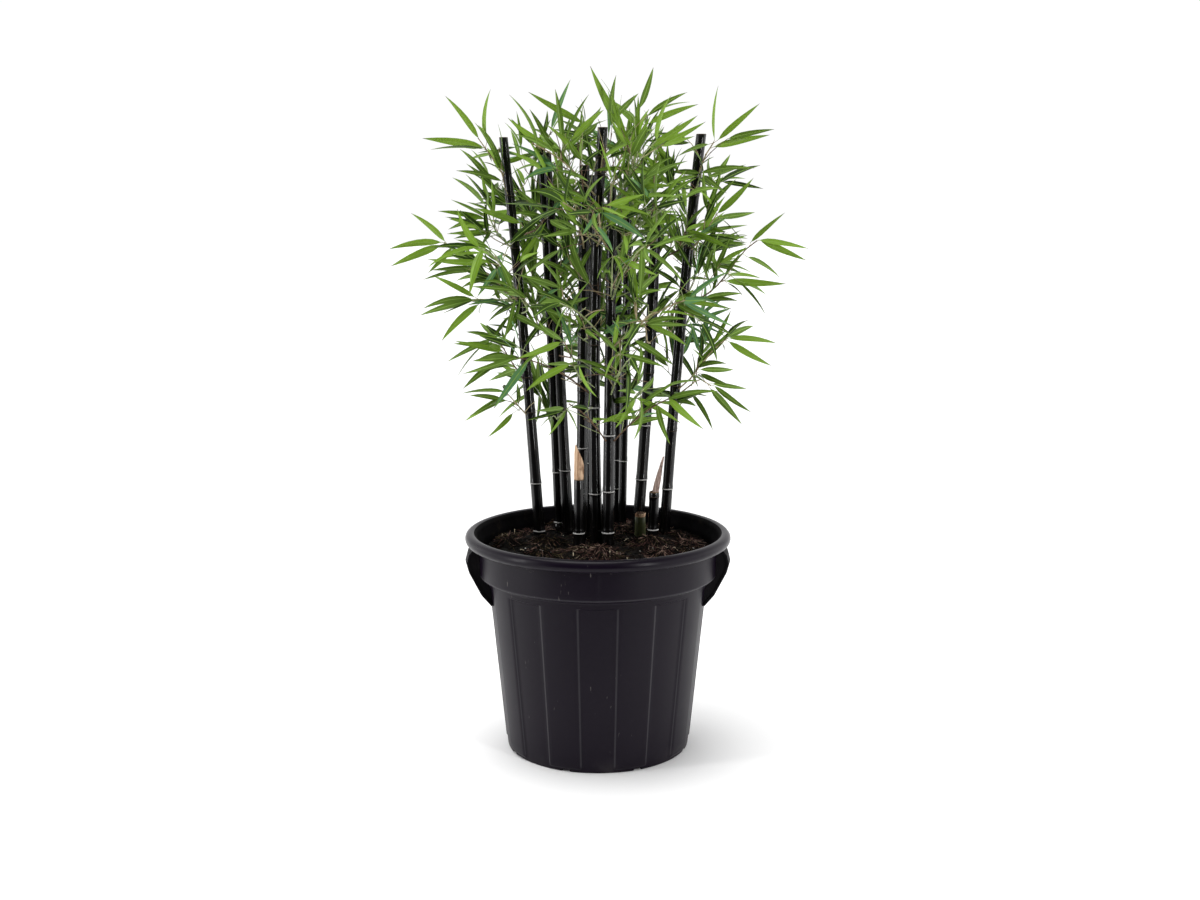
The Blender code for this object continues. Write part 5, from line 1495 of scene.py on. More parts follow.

# %% [markdown]
# ## Leafy shoots: listed one by one
# A rule alone grows a crown of its own.  What gives this plant its look is the shoots that stand
# against the light at both sides and on top, and the few that hang in front of the canes.  So each
# of those is written down: the cane it leaves, the line of its stem and the foot and tip of each
# leaf, in millimetres across and up, with the tip's lean away from the viewer, its roll in degrees
# and its green.  Everything else keeps clear of them.

# %% The shoots of the outline and of the front
Sketch = namedtuple("Sketch", "cane depth stem leaves")
SKETCHES = {name: Sketch(*row) for name, row in {
    "left_high": ("cane_left_outer", 62, ((-142, 859), (-155, 882), (-168, 900), (-178, 914)), (
     (-177, 913, -227, 976, 8, 84, 0), (-165, 908, -158, 984, -8, 80, 0),
     (-169, 900, -262, 914, 8, 78, 0), (-169, 898, -248, 897, -8, 20, 2),
     (-143, 851, -210, 866, -22, 62, 1), (-145, 867, -174, 880, 34, 30, 2),
     (-139, 865, -150, 897, -52, 50, 1))),
    "left_upper": ("cane_left_outer", 60, ((-135, 754), (-147, 767), (-156, 780), (-163, 800),
     (-169, 816)), (
     (-169, 816, -221, 857, 36, 75, 1), (-166, 815, -166, 842, -52, 70, 1),
     (-163, 795, -221, 824, 12, 40, 1), (-168, 795, -236, 807, -36, 72, 0),
     (-175, 800, -229, 779, 39, 55, 1), (-156, 776, -212, 767, -50, 70, 1),
     (-160, 779, -173, 754, -52, 70, 1), (-155, 779, -153, 804, 49, 60, 2),
     (-159, 785, -205, 788, 45, 60, 1), (-162, 806, -191, 820, -52, 50, 1),
     (-165, 782, -198, 781, -52, 66, 1))),
    "left_wide": ("cane_left_outer", 48, ((-125, 674), (-140, 689), (-151, 701), (-177, 724), (-202, 742),
     (-218, 753), (-230, 761)), (
     (-228, 762, -281, 804, 19, 84, 0), (-233, 761, -312, 751, -8, 80, 0),
     (-235, 757, -312, 725, 8, 74, 0), (-218, 753, -250, 717, -41, 66, 0),
     (-166, 709, -206, 756, 42, 66, 1), (-166, 712, -191, 751, -29, 45, 2),
     (-148, 705, -167, 750, -46, 66, 1), (-180, 721, -235, 712, 27, 70, 1),
     (-189, 724, -244, 722, -52, 58, 1), (-195, 720, -261, 706, -16, 60, 1),
     (-169, 709, -218, 701, 52, 56, 1), (-163, 705, -201, 696, -52, 60, 1),
     (-147, 699, -157, 732, 44, 50, 2), (-140, 690, -174, 703, -46, 45, 2),
     (-147, 699, -129, 723, -52, 60, 1), (-151, 699, -186, 687, 44, 20, 2))),
    "left_middle": ("cane_left_outer", 50, ((-119, 670), (-140, 675), (-159, 676), (-184, 676)), (
     (-185, 679, -249, 711, 8, 80, 0), (-188, 676, -262, 663, -16, 56, 1),
     (-187, 675, -270, 651, 8, 66, 1), (-190, 673, -234, 655, -8, 30, 2),
     (-179, 669, -236, 613, -8, 80, 0), (-175, 669, -183, 651, 52, 70, 1),
     (-128, 670, -163, 645, -41, 30, 2), (-119, 670, -144, 618, -37, 82, 1),
     (-135, 676, -159, 688, 52, 50, 1), (-125, 672, -140, 648, 41, 60, 2),
     (-147, 676, -153, 702, -52, 64, 1))),
    "left_lower": ("cane_left_outer", 52, ((-115, 553), (-126, 573), (-136, 590), (-147, 608),
     (-156, 620)), (
     (-147, 605, -220, 608, 8, 74, 1), (-159, 616, -228, 582, -8, 48, 1),
     (-173, 607, -215, 557, 8, 25, 2), (-148, 614, -196, 631, -51, 45, 1),
     (-148, 619, -183, 637, 52, 66, 1), (-144, 620, -165, 642, -47, 60, 2),
     (-139, 592, -180, 589, -52, 76, 1), (-123, 572, -173, 579, 52, 55, 1),
     (-156, 578, -201, 546, -52, 50, 1), (-124, 570, -170, 546, 51, 72, 1),
     (-134, 575, -173, 566, -26, 50, 2), (-133, 587, -129, 617, 49, 50, 2),
     (-141, 601, -171, 599, 52, 60, 1), (-138, 614, -140, 642, -52, 70, 1))),
    "left_skirt": ("cane_left_outer", 55, ((-112, 499), (-121, 512), (-130, 524), (-139, 533)), (
     (-142, 535, -210, 530, 18, 60, 1), (-142, 529, -192, 505, -49, 50, 1),
     (-140, 529, -205, 488, 8, 80, 0), (-137, 535, -142, 550, -52, 60, 2),
     (-130, 502, -165, 473, -52, 72, 0), (-121, 505, -139, 509, 46, 40, 2),
     (-121, 515, -125, 544, 36, 30, 2), (-117, 525, -108, 556, -52, 60, 1))),
    "right_high": ("cane_right_outer", 80, ((149, 865), (158, 883), (167, 899), (174, 909)), (
     (175, 912, 180, 992, 8, 82, 0), (180, 912, 241, 965, -8, 82, 0), (174, 902, 259, 920, 8, 74, 0),
     (167, 906, 117, 886, -43, 64, 1), (155, 878, 135, 897, 52, 50, 1), (154, 874, 171, 886, -45, 50, 2))),
    "right_upper": ("cane_right_outer", 76, ((146, 749), (153, 762), (163, 777), (172, 791), (180, 803)), (
     (180, 803, 233, 856, -8, 82, 0), (181, 797, 242, 805, 46, 66, 1), (177, 803, 148, 838, -43, 74, 0),
     (178, 806, 179, 832, 52, 60, 1), (159, 776, 227, 786, 8, 50, 1), (154, 770, 221, 761, -8, 35, 2),
     (187, 795, 220, 761, 18, 35, 2), (153, 764, 167, 743, -52, 50, 2), (160, 782, 189, 777, -52, 66, 0),
     (169, 785, 195, 795, 52, 60, 1))),
    "right_cross": ("cane_right_inner", 60, ((115, 731), (121, 749), (126, 764), (132, 778)), (
     (132, 778, 196, 752, -38, 84, 0), (132, 779, 180, 791, 45, 70, 0), (132, 783, 163, 819, -42, 74, 1),
     (128, 776, 115, 812, 52, 70, 1), (132, 773, 171, 764, -48, 70, 0), (120, 757, 139, 722, -29, 55, 2),
     (123, 760, 96, 776, 52, 66, 1), (125, 764, 152, 742, 52, 60, 1))),
    "right_crown": ("cane_right_outer", 70, ((144, 838), (149, 849), (153, 859)), (
     (153, 863, 234, 870, -8, 70, 1), (165, 857, 223, 876, 14, 64, 1), (159, 860, 189, 833, -52, 55, 1),
     (153, 863, 111, 866, 52, 72, 1), (149, 859, 99, 844, -52, 66, 1), (156, 865, 138, 897, 52, 60, 1),
     (150, 856, 177, 841, 41, 60, 2))),
    "right_wide": ("cane_right_outer", 60, ((130, 668), (154, 676), (172, 688), (187, 703), (207, 731),
     (221, 749), (239, 763)), (
     (230, 761, 277, 805, -27, 84, 0), (242, 764, 318, 751, 8, 60, 0), (244, 764, 313, 734, -8, 84, 0),
     (225, 739, 279, 706, 33, 62, 1), (190, 704, 215, 748, -50, 70, 1), (202, 716, 230, 754, 52, 62, 1),
     (192, 703, 284, 699, -8, 72, 0), (212, 703, 260, 679, 44, 50, 1), (213, 701, 250, 655, -35, 60, 1),
     (192, 704, 223, 716, 52, 45, 1), (195, 700, 216, 680, -40, 50, 2), (171, 686, 173, 737, -43, 72, 1),
     (181, 700, 175, 730, 51, 60, 2), (159, 676, 222, 682, 30, 70, 1), (162, 673, 207, 676, -52, 60, 1),
     (139, 670, 202, 661, -8, 74, 0), (178, 692, 162, 710, 46, 50, 2))),
    "right_middle": ("cane_right_inner", 60, ((106, 629), (111, 647), (117, 662), (124, 671)), (
     (124, 670, 184, 632, -10, 76, 1), (118, 673, 147, 688, 52, 60, 1), (112, 670, 88, 647, -52, 66, 1),
     (121, 668, 154, 676, 52, 60, 1), (112, 659, 140, 650, -37, 40, 2), (115, 661, 100, 680, 49, 60, 2),
     (124, 670, 164, 661, -52, 66, 1))),
    "right_low_hub": ("cane_right_outer", 70, ((126, 536), (140, 551), (152, 567), (165, 585), (177, 599),
     (190, 610), (199, 616)), (
     (199, 616, 274, 607, 8, 74, 0), (199, 611, 265, 574, -8, 82, 0), (197, 617, 243, 630, 52, 66, 1),
     (196, 617, 225, 646, -39, 30, 2), (176, 605, 201, 659, -18, 82, 0), (187, 608, 197, 592, 43, 50, 2),
     (156, 567, 212, 562, 47, 60, 1), (157, 561, 201, 548, -52, 50, 1), (153, 570, 193, 582, -51, 60, 1),
     (152, 570, 182, 597, 52, 62, 1), (152, 559, 169, 539, 47, 50, 2), (161, 581, 141, 605, -52, 60, 1),
     (146, 557, 144, 594, 35, 60, 2))),
    "right_low_side": ("cane_right_outer", 66, ((132, 527), (144, 543), (152, 558), (162, 550),
     (173, 543)), (
     (175, 546, 232, 534, 33, 66, 1), (178, 543, 235, 503, -8, 76, 1), (172, 539, 223, 481, 8, 78, 1),
     (162, 549, 141, 564, -43, 50, 2))),
    "right_skirt": ("cane_right_outer", 74, ((120, 501), (128, 515), (137, 529)), (
     (143, 531, 176, 476, -24, 76, 1), (139, 531, 142, 505, 52, 66, 1), (136, 528, 128, 515, 44, 60, 2),
     (142, 529, 166, 532, -48, 25, 2), (133, 523, 114, 538, 51, 50, 2))),
    "top_left": ("cane_left_thick", 80, ((-88, 880), (-85, 896), (-78, 911), (-70, 924)), (
     (-70, 927, -41, 1001, 8, 40, 3), (-69, 897, -102, 957, -8, 80, 1), (-84, 915, -77, 958, 37, 50, 2),
     (-93, 903, -127, 941, -41, 72, 1), (-75, 915, -105, 933, 52, 60, 1),
     (-69, 921, -48, 944, -52, 60, 1), (-85, 896, -111, 883, -52, 66, 1))),
    "top_centre_left": ("cane_centre_left", 40, ((-22, 870), (-25, 893), (-26, 913), (-22, 933)), (
     (-22, 935, -102, 979, -8, 72, 0), (-19, 938, -25, 972, 37, 60, 2), (-23, 933, -32, 956, -52, 64, 1),
     (-20, 932, 5, 962, 52, 66, 1), (-23, 920, -56, 942, 52, 66, 1), (-26, 906, -57, 919, -52, 66, 1),
     (-23, 916, 0, 933, -52, 60, 1), (-25, 896, 9, 907, -52, 66, 0))),
    "top_right": ("cane_centre_front", 10, ((19, 838), (25, 863), (35, 888), (47, 910), (58, 929)), (
     (39, 919, -11, 1013, -8, 84, 0), (58, 929, 13, 971, 45, 80, 0), (61, 954, 81, 1014, 24, 50, 1),
     (23, 940, 60, 978, 39, 62, 1), (73, 932, 145, 959, -8, 78, 0), (67, 932, 68, 954, 48, 50, 2),
     (57, 926, 35, 949, -52, 70, 1), (48, 910, 21, 923, 52, 66, 1), (50, 913, 79, 920, -52, 66, 1),
     (35, 888, 12, 900, -52, 60, 1), (34, 885, 61, 895, 52, 66, 1))),
    "top_far_right": ("cane_right_inner", 70, ((86, 806), (84, 829), (84, 856), (87, 882)), (
     (93, 897, 124, 936, -52, 72, 1), (87, 887, 99, 936, 51, 78, 0), (84, 874, 73, 935, -42, 80, 0),
     (85, 882, 105, 912, 52, 66, 1), (83, 853, 63, 897, 42, 70, 1), (86, 847, 117, 874, -52, 66, 1),
     (84, 829, 51, 859, -52, 70, 1), (86, 826, 122, 838, 52, 66, 1), (84, 815, 70, 767, -46, 60, 1),
     (87, 815, 106, 770, 49, 60, 1), (81, 865, 48, 874, -52, 66, 1))),
    "front_high": ("cane_centre_front", -60, ((17, 784), (17, 803), (19, 823), (20, 841)), (
     (20, 849, 2, 906, -34, 80, 0), (22, 851, 43, 889, 52, 80, 0), (-20, 816, 9, 856, -42, 80, 1),
     (17, 808, 61, 833, 36, 78, 3), (20, 842, 6, 828, 52, 60, 2))),
    "front_pale": ("cane_centre_tall", -90, ((7, 757), (6, 773), (3, 790), (2, 804)), (
     (2, 806, -22, 775, -52, 86, 3), (4, 806, 69, 766, 12, 82, 3), (-5, 788, 21, 751, -51, 84, 3),
     (2, 805, -16, 819, 52, 60, 2))),
    "front_low": ("cane_centre_front", -95, ((21, 684), (20, 707), (20, 726), (21, 744)), (
     (21, 746, 33, 705, -52, 86, 0), (27, 746, 85, 718, 15, 82, 0), (19, 744, -1, 715, -52, 74, 1),
     (20, 741, 9, 709, 47, 60, 2), (24, 746, 51, 737, 52, 60, 1), (20, 748, 5, 759, 52, 60, 1))),
    "front_leaning": ("cane_centre_left", -60, ((-18, 753), (-21, 767), (-24, 778)), (
     (-29, 780, -78, 772, -44, 66, 1), (-29, 788, -73, 853, 8, 80, 0), (-29, 778, -68, 795, 51, 74, 1),
     (-22, 777, -11, 806, 52, 60, 1))),
    "front_crossed": ("cane_left_thick", -40, ((-54, 803), (-55, 826), (-57, 845), (-58, 864)), (
     (-57, 867, -105, 848, -49, 80, 3), (-58, 867, -98, 876, 52, 78, 3), (-57, 866, -21, 822, 48, 70, 1),
     (-54, 864, -12, 848, -45, 60, 1), (-59, 869, -54, 896, 52, 66, 1))),
    "front_plume": ("cane_centre_left", -30, ((-20, 823), (-21, 840), (-23, 857), (-23, 872)), (
     (-22, 878, -74, 929, -9, 78, 0), (-22, 878, -22, 918, 52, 80, 0), (-22, 879, -41, 909, -52, 70, 1),
     (-21, 920, -1, 947, 52, 66, 1), (-20, 874, 9, 893, 42, 60, 2), (-22, 923, -20, 952, -52, 70, 1))),
    "front_stair": ("cane_left_outer", -30, ((-101, 769), (-92, 778), (-83, 788), (-76, 796)), (
     (-74, 799, -77, 850, 52, 80, 1), (-76, 802, -119, 841, -29, 74, 1), (-70, 800, -48, 832, 52, 76, 3),
     (-76, 798, -113, 805, -52, 60, 1), (-69, 795, -30, 778, -52, 66, 1),
     (-80, 789, -101, 766, 42, 60, 2))),
    "front_right_fan": ("cane_right_inner", -30, ((82, 761), (84, 778), (84, 795), (84, 809)), (
     (78, 823, 42, 883, 33, 72, 1), (91, 817, 125, 865, -41, 80, 0), (95, 815, 134, 834, 52, 70, 1),
     (97, 809, 111, 766, -48, 76, 1), (76, 824, 42, 855, -52, 74, 3), (85, 817, 86, 857, 52, 60, 1),
     (61, 809, 92, 768, -52, 70, 1))),
    "front_star_left": ("cane_left_thick", -50, ((-46, 664), (-47, 676), (-50, 687), (-51, 696)), (
     (-53, 701, -83, 736, 50, 80, 1), (-54, 699, -114, 718, -19, 78, 1), (-56, 697, -83, 680, -52, 70, 3),
     (-51, 701, -45, 727, 52, 66, 1), (-40, 666, -11, 711, -36, 76, 1))),
    "front_sickle": ("cane_left_outer", -30, ((-99, 654), (-101, 664), (-104, 674), (-106, 682)), (
     (-120, 683, -136, 621, -38, 78, 1), (-107, 680, -152, 654, 27, 40, 2),
     (-85, 674, -40, 642, 50, 76, 1), (-103, 682, -121, 700, -52, 60, 1),
     (-110, 683, -142, 684, 52, 60, 1))),
    "front_paw": ("cane_left_thick", -60, ((-31, 587), (-37, 599), (-43, 610), (-47, 620)), (
     (-51, 625, -87, 647, 52, 74, 1), (-53, 622, -115, 602, -39, 82, 0),
     (-76, 610, -111, 582, -43, 70, 1), (-50, 623, -82, 630, 52, 66, 1), (-46, 623, -28, 648, 52, 60, 1))),
    "front_bend": ("cane_centre_left", -50, ((-11, 617), (-14, 627), (-17, 637), (-20, 643)), (
     (-20, 645, 12, 668, 52, 80, 0), (-21, 644, -30, 666, -52, 60, 1), (-18, 638, 3, 627, -52, 66, 1))),
    "front_foot": ("cane_centre_left", -80, ((-20, 558), (-24, 569), (-30, 581), (-34, 589)), (
     (-40, 591, -103, 554, -11, 84, 0), (-41, 592, -76, 587, 51, 70, 1), (-27, 591, 0, 549, -39, 86, 0),
     (-35, 594, -45, 612, 52, 60, 1), (-31, 589, -11, 581, 43, 50, 2))),
    "front_broom": ("cane_centre_front", -80, ((32, 562), (32, 578), (32, 592), (32, 607)), (
     (28, 609, -13, 641, 35, 78, 1), (25, 604, 10, 578, -52, 82, 0), (26, 602, 33, 553, 52, 84, 0),
     (37, 605, 95, 590, -21, 78, 1), (30, 629, 12, 645, 52, 74, 3), (32, 634, 20, 659, -52, 60, 3),
     (35, 627, 51, 656, 52, 78, 1), (32, 609, 43, 575, 36, 60, 2))),
    "front_right_star": ("cane_right_inner", -60, ((58, 639), (56, 653), (53, 669), (52, 683)), (
     (53, 689, 91, 718, 52, 78, 1), (52, 691, 47, 715, -52, 66, 1), (56, 685, 92, 699, -52, 70, 1),
     (49, 688, 30, 702, 52, 66, 1), (55, 686, 75, 671, 44, 60, 2))),
    "front_right_sweep": ("cane_right_inner", -50, ((73, 606), (71, 621), (70, 634), (68, 644)), (
     (69, 651, 92, 669, 52, 74, 1), (69, 647, 126, 657, -41, 70, 1), (72, 645, 129, 617, -36, 80, 0),
     (72, 647, 134, 643, 28, 66, 1), (65, 650, 49, 657, 52, 66, 1), (52, 624, 111, 586, 8, 72, 1))),
    "front_right_edge": ("cane_right_outer", 10, ((137, 651), (131, 660), (123, 667), (117, 673)), (
     (114, 675, 145, 691, 52, 76, 1), (117, 672, 153, 656, -52, 78, 1), (114, 676, 152, 680, 52, 66, 1),
     (116, 672, 104, 651, -52, 60, 1))),
    "front_foot_right": ("cane_right_inner", -30, ((74, 546), (66, 549), (59, 544), (53, 537)), (
     (56, 537, 122, 500, -8, 84, 0), (53, 537, 12, 523, 52, 76, 1), (55, 538, 24, 498, -47, 78, 0),
     (62, 546, 84, 563, 52, 66, 1), (56, 544, 28, 554, -52, 70, 1), (66, 547, 91, 535, 49, 60, 2))),
    "front_foot_left": ("cane_left_thick", -20, ((-68, 497), (-62, 503), (-54, 509), (-48, 516)), (
     (-47, 516, -72, 486, -52, 84, 0), (-50, 521, -96, 509, 52, 66, 1), (-46, 519, -29, 494, 52, 78, 1),
     (-53, 516, -106, 503, -8, 60, 2))),
}.items()}
LEANS = (1.0, -1.0, 0.35, -0.35)        # shares of the lean that are tried in turn
STALK_FROM, TO_CANE = 0.0025, 0.0008    # shorter leaf stalks are left out


def nearest_on(line, point):
    """The place on a line of points that is nearest to a point."""
    best = None
    for a, b in zip(line, line[1:]):
        run = b - a
        share = max(0.0, min(1.0, (point - a).dot(run) / run.length_squared))
        place = a + run * share
        if best is None or (place - point).length < (best - point).length:
            best = place
    return best


def sketched_leaf(growth, depth, numbers):
    """A leaf between its foot and its tip, leaning so that it clears every cane."""
    foot_x, foot_z, tip_x, tip_z, lean, roll, _ = numbers
    foot = Vector((foot_x, depth + growth.chance.uniform(-3, 3), foot_z)) / 1000
    turn = math.radians(roll) * growth.chance.choice((-1, 1))
    for share in LEANS:
        tip = Vector((tip_x, depth + lean * share, tip_z)) / 1000
        leaf = lay_leaf(foot, (tip - foot).normalized(), (tip - foot).length, turn)
        if clear_of_canes(leaf_samples(leaf, LEAF_WIDTH), TO_CANE):
            return leaf
    return None


def draw_sketch(index, sketch):
    """The stem, the leaf stalks and the leaves of one sketch, ready for finer twigs."""
    growth = FineGrowth(100 + index, sprays[0], spaces)
    growth.go_fine(3000 + index)
    cane = next(cane for cane in CANES if cane.name == sketch.cane)
    line = [Vector((x, sketch.depth, z)) / 1000 for x, z in sketch.stem]
    middle = cane_point(cane, line[0].z)
    outward = Vector((line[1].x - middle.x, line[1].y - middle.y, 0)).normalized()
    line[0] = middle + outward * cane_radius(cane, line[0].z)
    leaves = []
    for numbers in sketch.leaves:
        leaf = sketched_leaf(growth, sketch.depth, numbers)
        if not leaf:
            continue
        leaves.append(leaf)
        growth.leaves.append(leaf)
        growth.tints[id(leaf)] = numbers[6]
        field.add(leaf)
        fork = nearest_on(line, leaf.root - (leaf.tip - leaf.root) * 0.10)
        if (fork - leaf.root).length > STALK_FROM:
            growth.shoots.append(Shoot([fork, fork.lerp(leaf.root, 0.5), leaf.root], 2, []))
    growth.shoots.insert(0, Shoot(line, 0, leaves))
    return growth


sketched = [draw_sketch(index, sketch) for index, sketch in enumerate(SKETCHES.values())]
for name, growth in zip(SKETCHES, sketched):
    print(name, "has", len(growth.leaves), "leaves of", len(SKETCHES[name].leaves))

# %% [markdown]
# ## Leafy shoots: filling in
# Now that the listed shoots have their places, the finer twigs grow into the air between them.

# %% Fill in with finer twigs
SKETCH_TWIGS = 2
for growth in grown:
    growth.refine()
for growth in sketched:
    for _ in range(SKETCH_TWIGS):
        growth.fine_twig(growth.shoots[0], 0.0, 0.45, 0.045, 1)
grown += sketched
print("all leaves:", sum(len(g.leaves) for g in grown))

# %% [markdown]
# ## Leafy shoots: straight from the joints
# On the real canes a few short shoots also sit close to the joints, and hide where the long ones
# leave.  They get the same twigs and leaves, with draws of their own.

# %% Short shoots straight from the joints
JOINT_SHOOTS, JOINT_LENGTH, LOWEST_JOINT = 3, (0.030, 0.075), 0.60
OVER_JOINT, KNEE, JOINT_CLEAR = 0.002, 0.3, 0.001
joint_growth = FineGrowth(0, sprays[0], spaces)
joint_growth.go_fine(7000)
for cane in CANES:
    for level in cane.joints:
        if level < LOWEST_JOINT:
            continue
        for _ in range(JOINT_SHOOTS):
            flat = joint_growth.chance.uniform(0, math.tau)
            outward = pointing(flat, 0.0)
            root = cane_point(cane, level + OVER_JOINT) + outward * cane_radius(cane, level)
            direction = pointing(flat, joint_growth.chance.uniform(0.2, 1.2))
            length = joint_growth.chance.uniform(*JOINT_LENGTH)
            knee = root + outward * length * KNEE + direction * length * KNEE
            line = curve_points(root, knee, root + direction * length, 3)
            if joint_growth.fits(line[1:], JOINT_CLEAR):
                shoot = joint_growth.add_shoot(line, 1, 4, joint_growth.fine_leaf)
                joint_growth.fine_twig(shoot, 0.3, 0.8, 0.030, 2)
grown.append(joint_growth)
print("leaves from the joints:", len(joint_growth.leaves))

# %% [markdown]
# ## Leafy shoots: thinning
# The black canes are what this plant is grown for, so the leaves that would hide the stout ones
# from the front are thinned, and the crown opens up towards its top.  Leaves listed one by one stay.

# %% Thin the front and the top
FRONT_KEPT = {
    "cane_left_outer": 0.06, "cane_left_thick": 0.20, "cane_centre_left": 0.20, "cane_centre_tall": 0.14,
    "cane_centre_front": 0.24, "cane_right_inner": 0.26, "cane_right_outer": 0.16,
}
FOREMOST = -0.205                       # leaves further forward all stay, so the crown keeps its depth
FRONT_DEPTH, FRONT_HALF, DEEP_KEPT = -0.085, 0.13, 0.36
HIDING_PLACES, BESIDE, ABOVE = (0.35, 0.6, 0.85), 0.002, 0.004
TOP_FROM, TOP_OVER, UPRIGHT_FROM, UPRIGHT_OVER, TOP_KEPT = 0.925, 0.030, 0.2, 0.4, 0.28


def hides(spot, cane):
    """Whether a place stands before a cane, seen from the camera."""
    away = (cane_point(cane, spot.z).y - CAMERA_PLACE[1]) / (spot.y - CAMERA_PLACE[1])
    x = CAMERA_PLACE[0] + (spot.x - CAMERA_PLACE[0]) * away
    z = CAMERA_PLACE[2] + (spot.z - CAMERA_PLACE[2]) * away
    middle = cane_point(cane, z)
    beside = abs(x - middle.x) < cane_radius(cane, z) + BESIDE
    return spot.y < middle.y and z < cane.top[2] + ABOVE and beside


def front_share(leaf):
    """How many of the leaves before a stout cane stay, or all of them where they hide none."""
    if leaf.tip.y < FOREMOST:
        return 1.0
    share = DEEP_KEPT if leaf.tip.y < FRONT_DEPTH and abs(leaf.tip.x) < FRONT_HALF else 1.0
    spots = [leaf.root.lerp(leaf.tip, place) for place in HIDING_PLACES]
    for cane in CANES:
        if cane.name in FRONT_KEPT and any(hides(spot, cane) for spot in spots):
            share = min(share, FRONT_KEPT[cane.name])
    return share


def crown_top_share(leaf):
    """How many leaves stay: over the canes' tops the crown thins out to a few upright ones."""
    high = smooth((leaf.tip.z - TOP_FROM) / TOP_OVER)
    upright = smooth(((leaf.tip - leaf.root).normalized().z - UPRIGHT_FROM) / UPRIGHT_OVER)
    return 1.0 - (1.0 - TOP_KEPT) * high * upright


chance = random.Random(8000)
kept = set()
for growth in grown:
    for leaf in growth.leaves:
        if id(leaf) in growth.tints or chance.random() < min(front_share(leaf), crown_top_share(leaf)):
            kept.add(id(leaf))
print("leaves kept:", len(kept))

# %% [markdown]
# ## Leaves: the finish
# A bamboo leaf is thin and matt-bright above, with a pale midrib and fine parallel veins, and it
# dries to a grey-brown point.  Young outer leaves are yellow-green and old inner ones deep green, so
# whole twigs are dealt one of several greens.  The deepest green is darker than old leaves grow and
# goes mostly to twigs inside, low in and behind the crown, as painted shade; the brightest goes mostly
# to the outside and the top, partly as painted light.

# %% Greens
def leaf_finish(name, dark, light, gloss=0.42):
    """A leaf green with parallel veins that run from foot to tip."""
    made = Finish(name, Specular_IOR_Level=0.14)
    place = made.flow.node("ShaderNodeUVMap", {"uv_map": "blade"})
    across = made.split(place, 1)
    veins = made.flow.math("SINE", across * 60.0) * 0.5 + 0.5
    cloud = made.speckle(made.place(), 45.0, 3.0)
    made.feed("Base Color", (cloud * 0.75 + veins * 0.25).blend(dark, light))
    made.feed("Roughness", gloss + cloud * 0.12)
    made.bump(veins, 0.15, 0.0003)
    return made


GREENS = (
    leaf_finish("young_leaf", (0.146, 0.280, 0.020), (0.240, 0.390, 0.042)),
    leaf_finish("summer_leaf", (0.076, 0.152, 0.014), (0.138, 0.230, 0.030)),
    leaf_finish("old_leaf", (0.018, 0.042, 0.005), (0.046, 0.090, 0.012)),
    leaf_finish("blue_green_leaf", (0.060, 0.165, 0.055), (0.120, 0.260, 0.100)),
)
midrib = leaf_finish("pale_midrib", (0.19, 0.33, 0.05), (0.31, 0.46, 0.10), 0.5)
dry_tip = leaf_finish("dry_leaf_point", (0.10, 0.085, 0.060), (0.18, 0.15, 0.11), 0.6)
print("greens:", len(GREENS))

# %% [markdown]
# ## Leaves: the shape
# The blade is widest a third of the way up and runs out to a long point.  It folds a little along
# its midrib, arches, and twists; a flat strip would look cut from paper.  Six points in each row
# give it two halves and a rib on both faces, closed all round, so that it has a real thickness.

# %% One blade
BLADE_ROWS = ((0.0, 0.07), (0.03, 0.12), (0.08, 0.46), (0.17, 0.84), (0.30, 1.0), (0.46, 0.95),
              (0.62, 0.78), (0.77, 0.53), (0.89, 0.27), (0.955, 0.11), (1.0, 0.015))
BLADE_THICK, RIB_HALF, DRY_FROM = 0.00055, 0.00045, 0.94


def blade(leaf, chance):
    """Points, faces, finish numbers and places of one leaf."""
    half = leaf.length * LEAF_WIDTH / 2 * chance.uniform(0.88, 1.06)
    arch = leaf.length * chance.uniform(0.015, 0.085)
    side_bend = leaf.length * chance.uniform(-0.045, 0.045)
    fold = chance.uniform(0.10, 0.32)
    twist = chance.uniform(-0.5, 0.5)
    up = leaf.lift if leaf.lift.z > 0 else -leaf.lift
    points, places = [], []
    along = (leaf.tip - leaf.root).normalized()
    for share, width in BLADE_ROWS:
        swell = 4 * share * (1 - share)
        turn = Matrix.Rotation(twist * share * (1 - 0.5 * share), 3, along)
        across, lift = turn @ leaf.across, turn @ up
        middle = leaf.root.lerp(leaf.tip, share) + up * arch * swell + leaf.across * side_bend * swell
        reach = half * width
        rib = min(RIB_HALF, reach * 0.4)
        edge_lift = lift * reach * fold
        thick = lift * BLADE_THICK * (0.35 + 0.65 * width)
        points += [middle + across * reach + edge_lift, middle + across * rib + thick * 0.5,
                   middle - across * rib + thick * 0.5, middle - across * reach + edge_lift,
                   middle - across * rib - thick * 0.8, middle + across * rib - thick * 0.8]
        places += [(share, 1.0), (share, 0.5), (share, 0.5), (share, 0.0), (share, 0.5), (share, 0.5)]
    slots = []
    for share, _ in BLADE_ROWS[:-1]:
        slots += [2] * 6 if share >= DRY_FROM else [0, 1, 0, 0, 1, 0]
    return [tuple(p) for p in points], ring_faces(len(BLADE_ROWS), 6), slots + [0, 2], places


def from_axis(point):
    """How far a point is from the crown's upright middle line."""
    return math.hypot(point.x, point.y - CROWN_CENTRE.y)


def deal_green_and_painted_shade(chance, middle):
    """A green for a twig's leaves: partly leaf age and partly painted light and shade, brighter on the
    outside and at the top of the crown, deeper inside, low down and at the back.
    """
    # painted light and shade: brighter greens towards the top and outside, the deepest inside and behind
    high = smooth((middle.z - 0.62) / 0.3)
    behind = smooth((middle.y - 0.07) / 0.08)
    outer = min(1.0, 0.55 * (from_axis(middle) / 0.24) + 0.45 * high) - 0.30 * behind
    draw = chance.random()
    if draw < 0.10:
        return 3 if outer < 0.75 else 1
    if draw < 0.12 + 0.46 * outer:
        return 0
    return 1 if draw < 0.50 + 0.40 * outer else 2


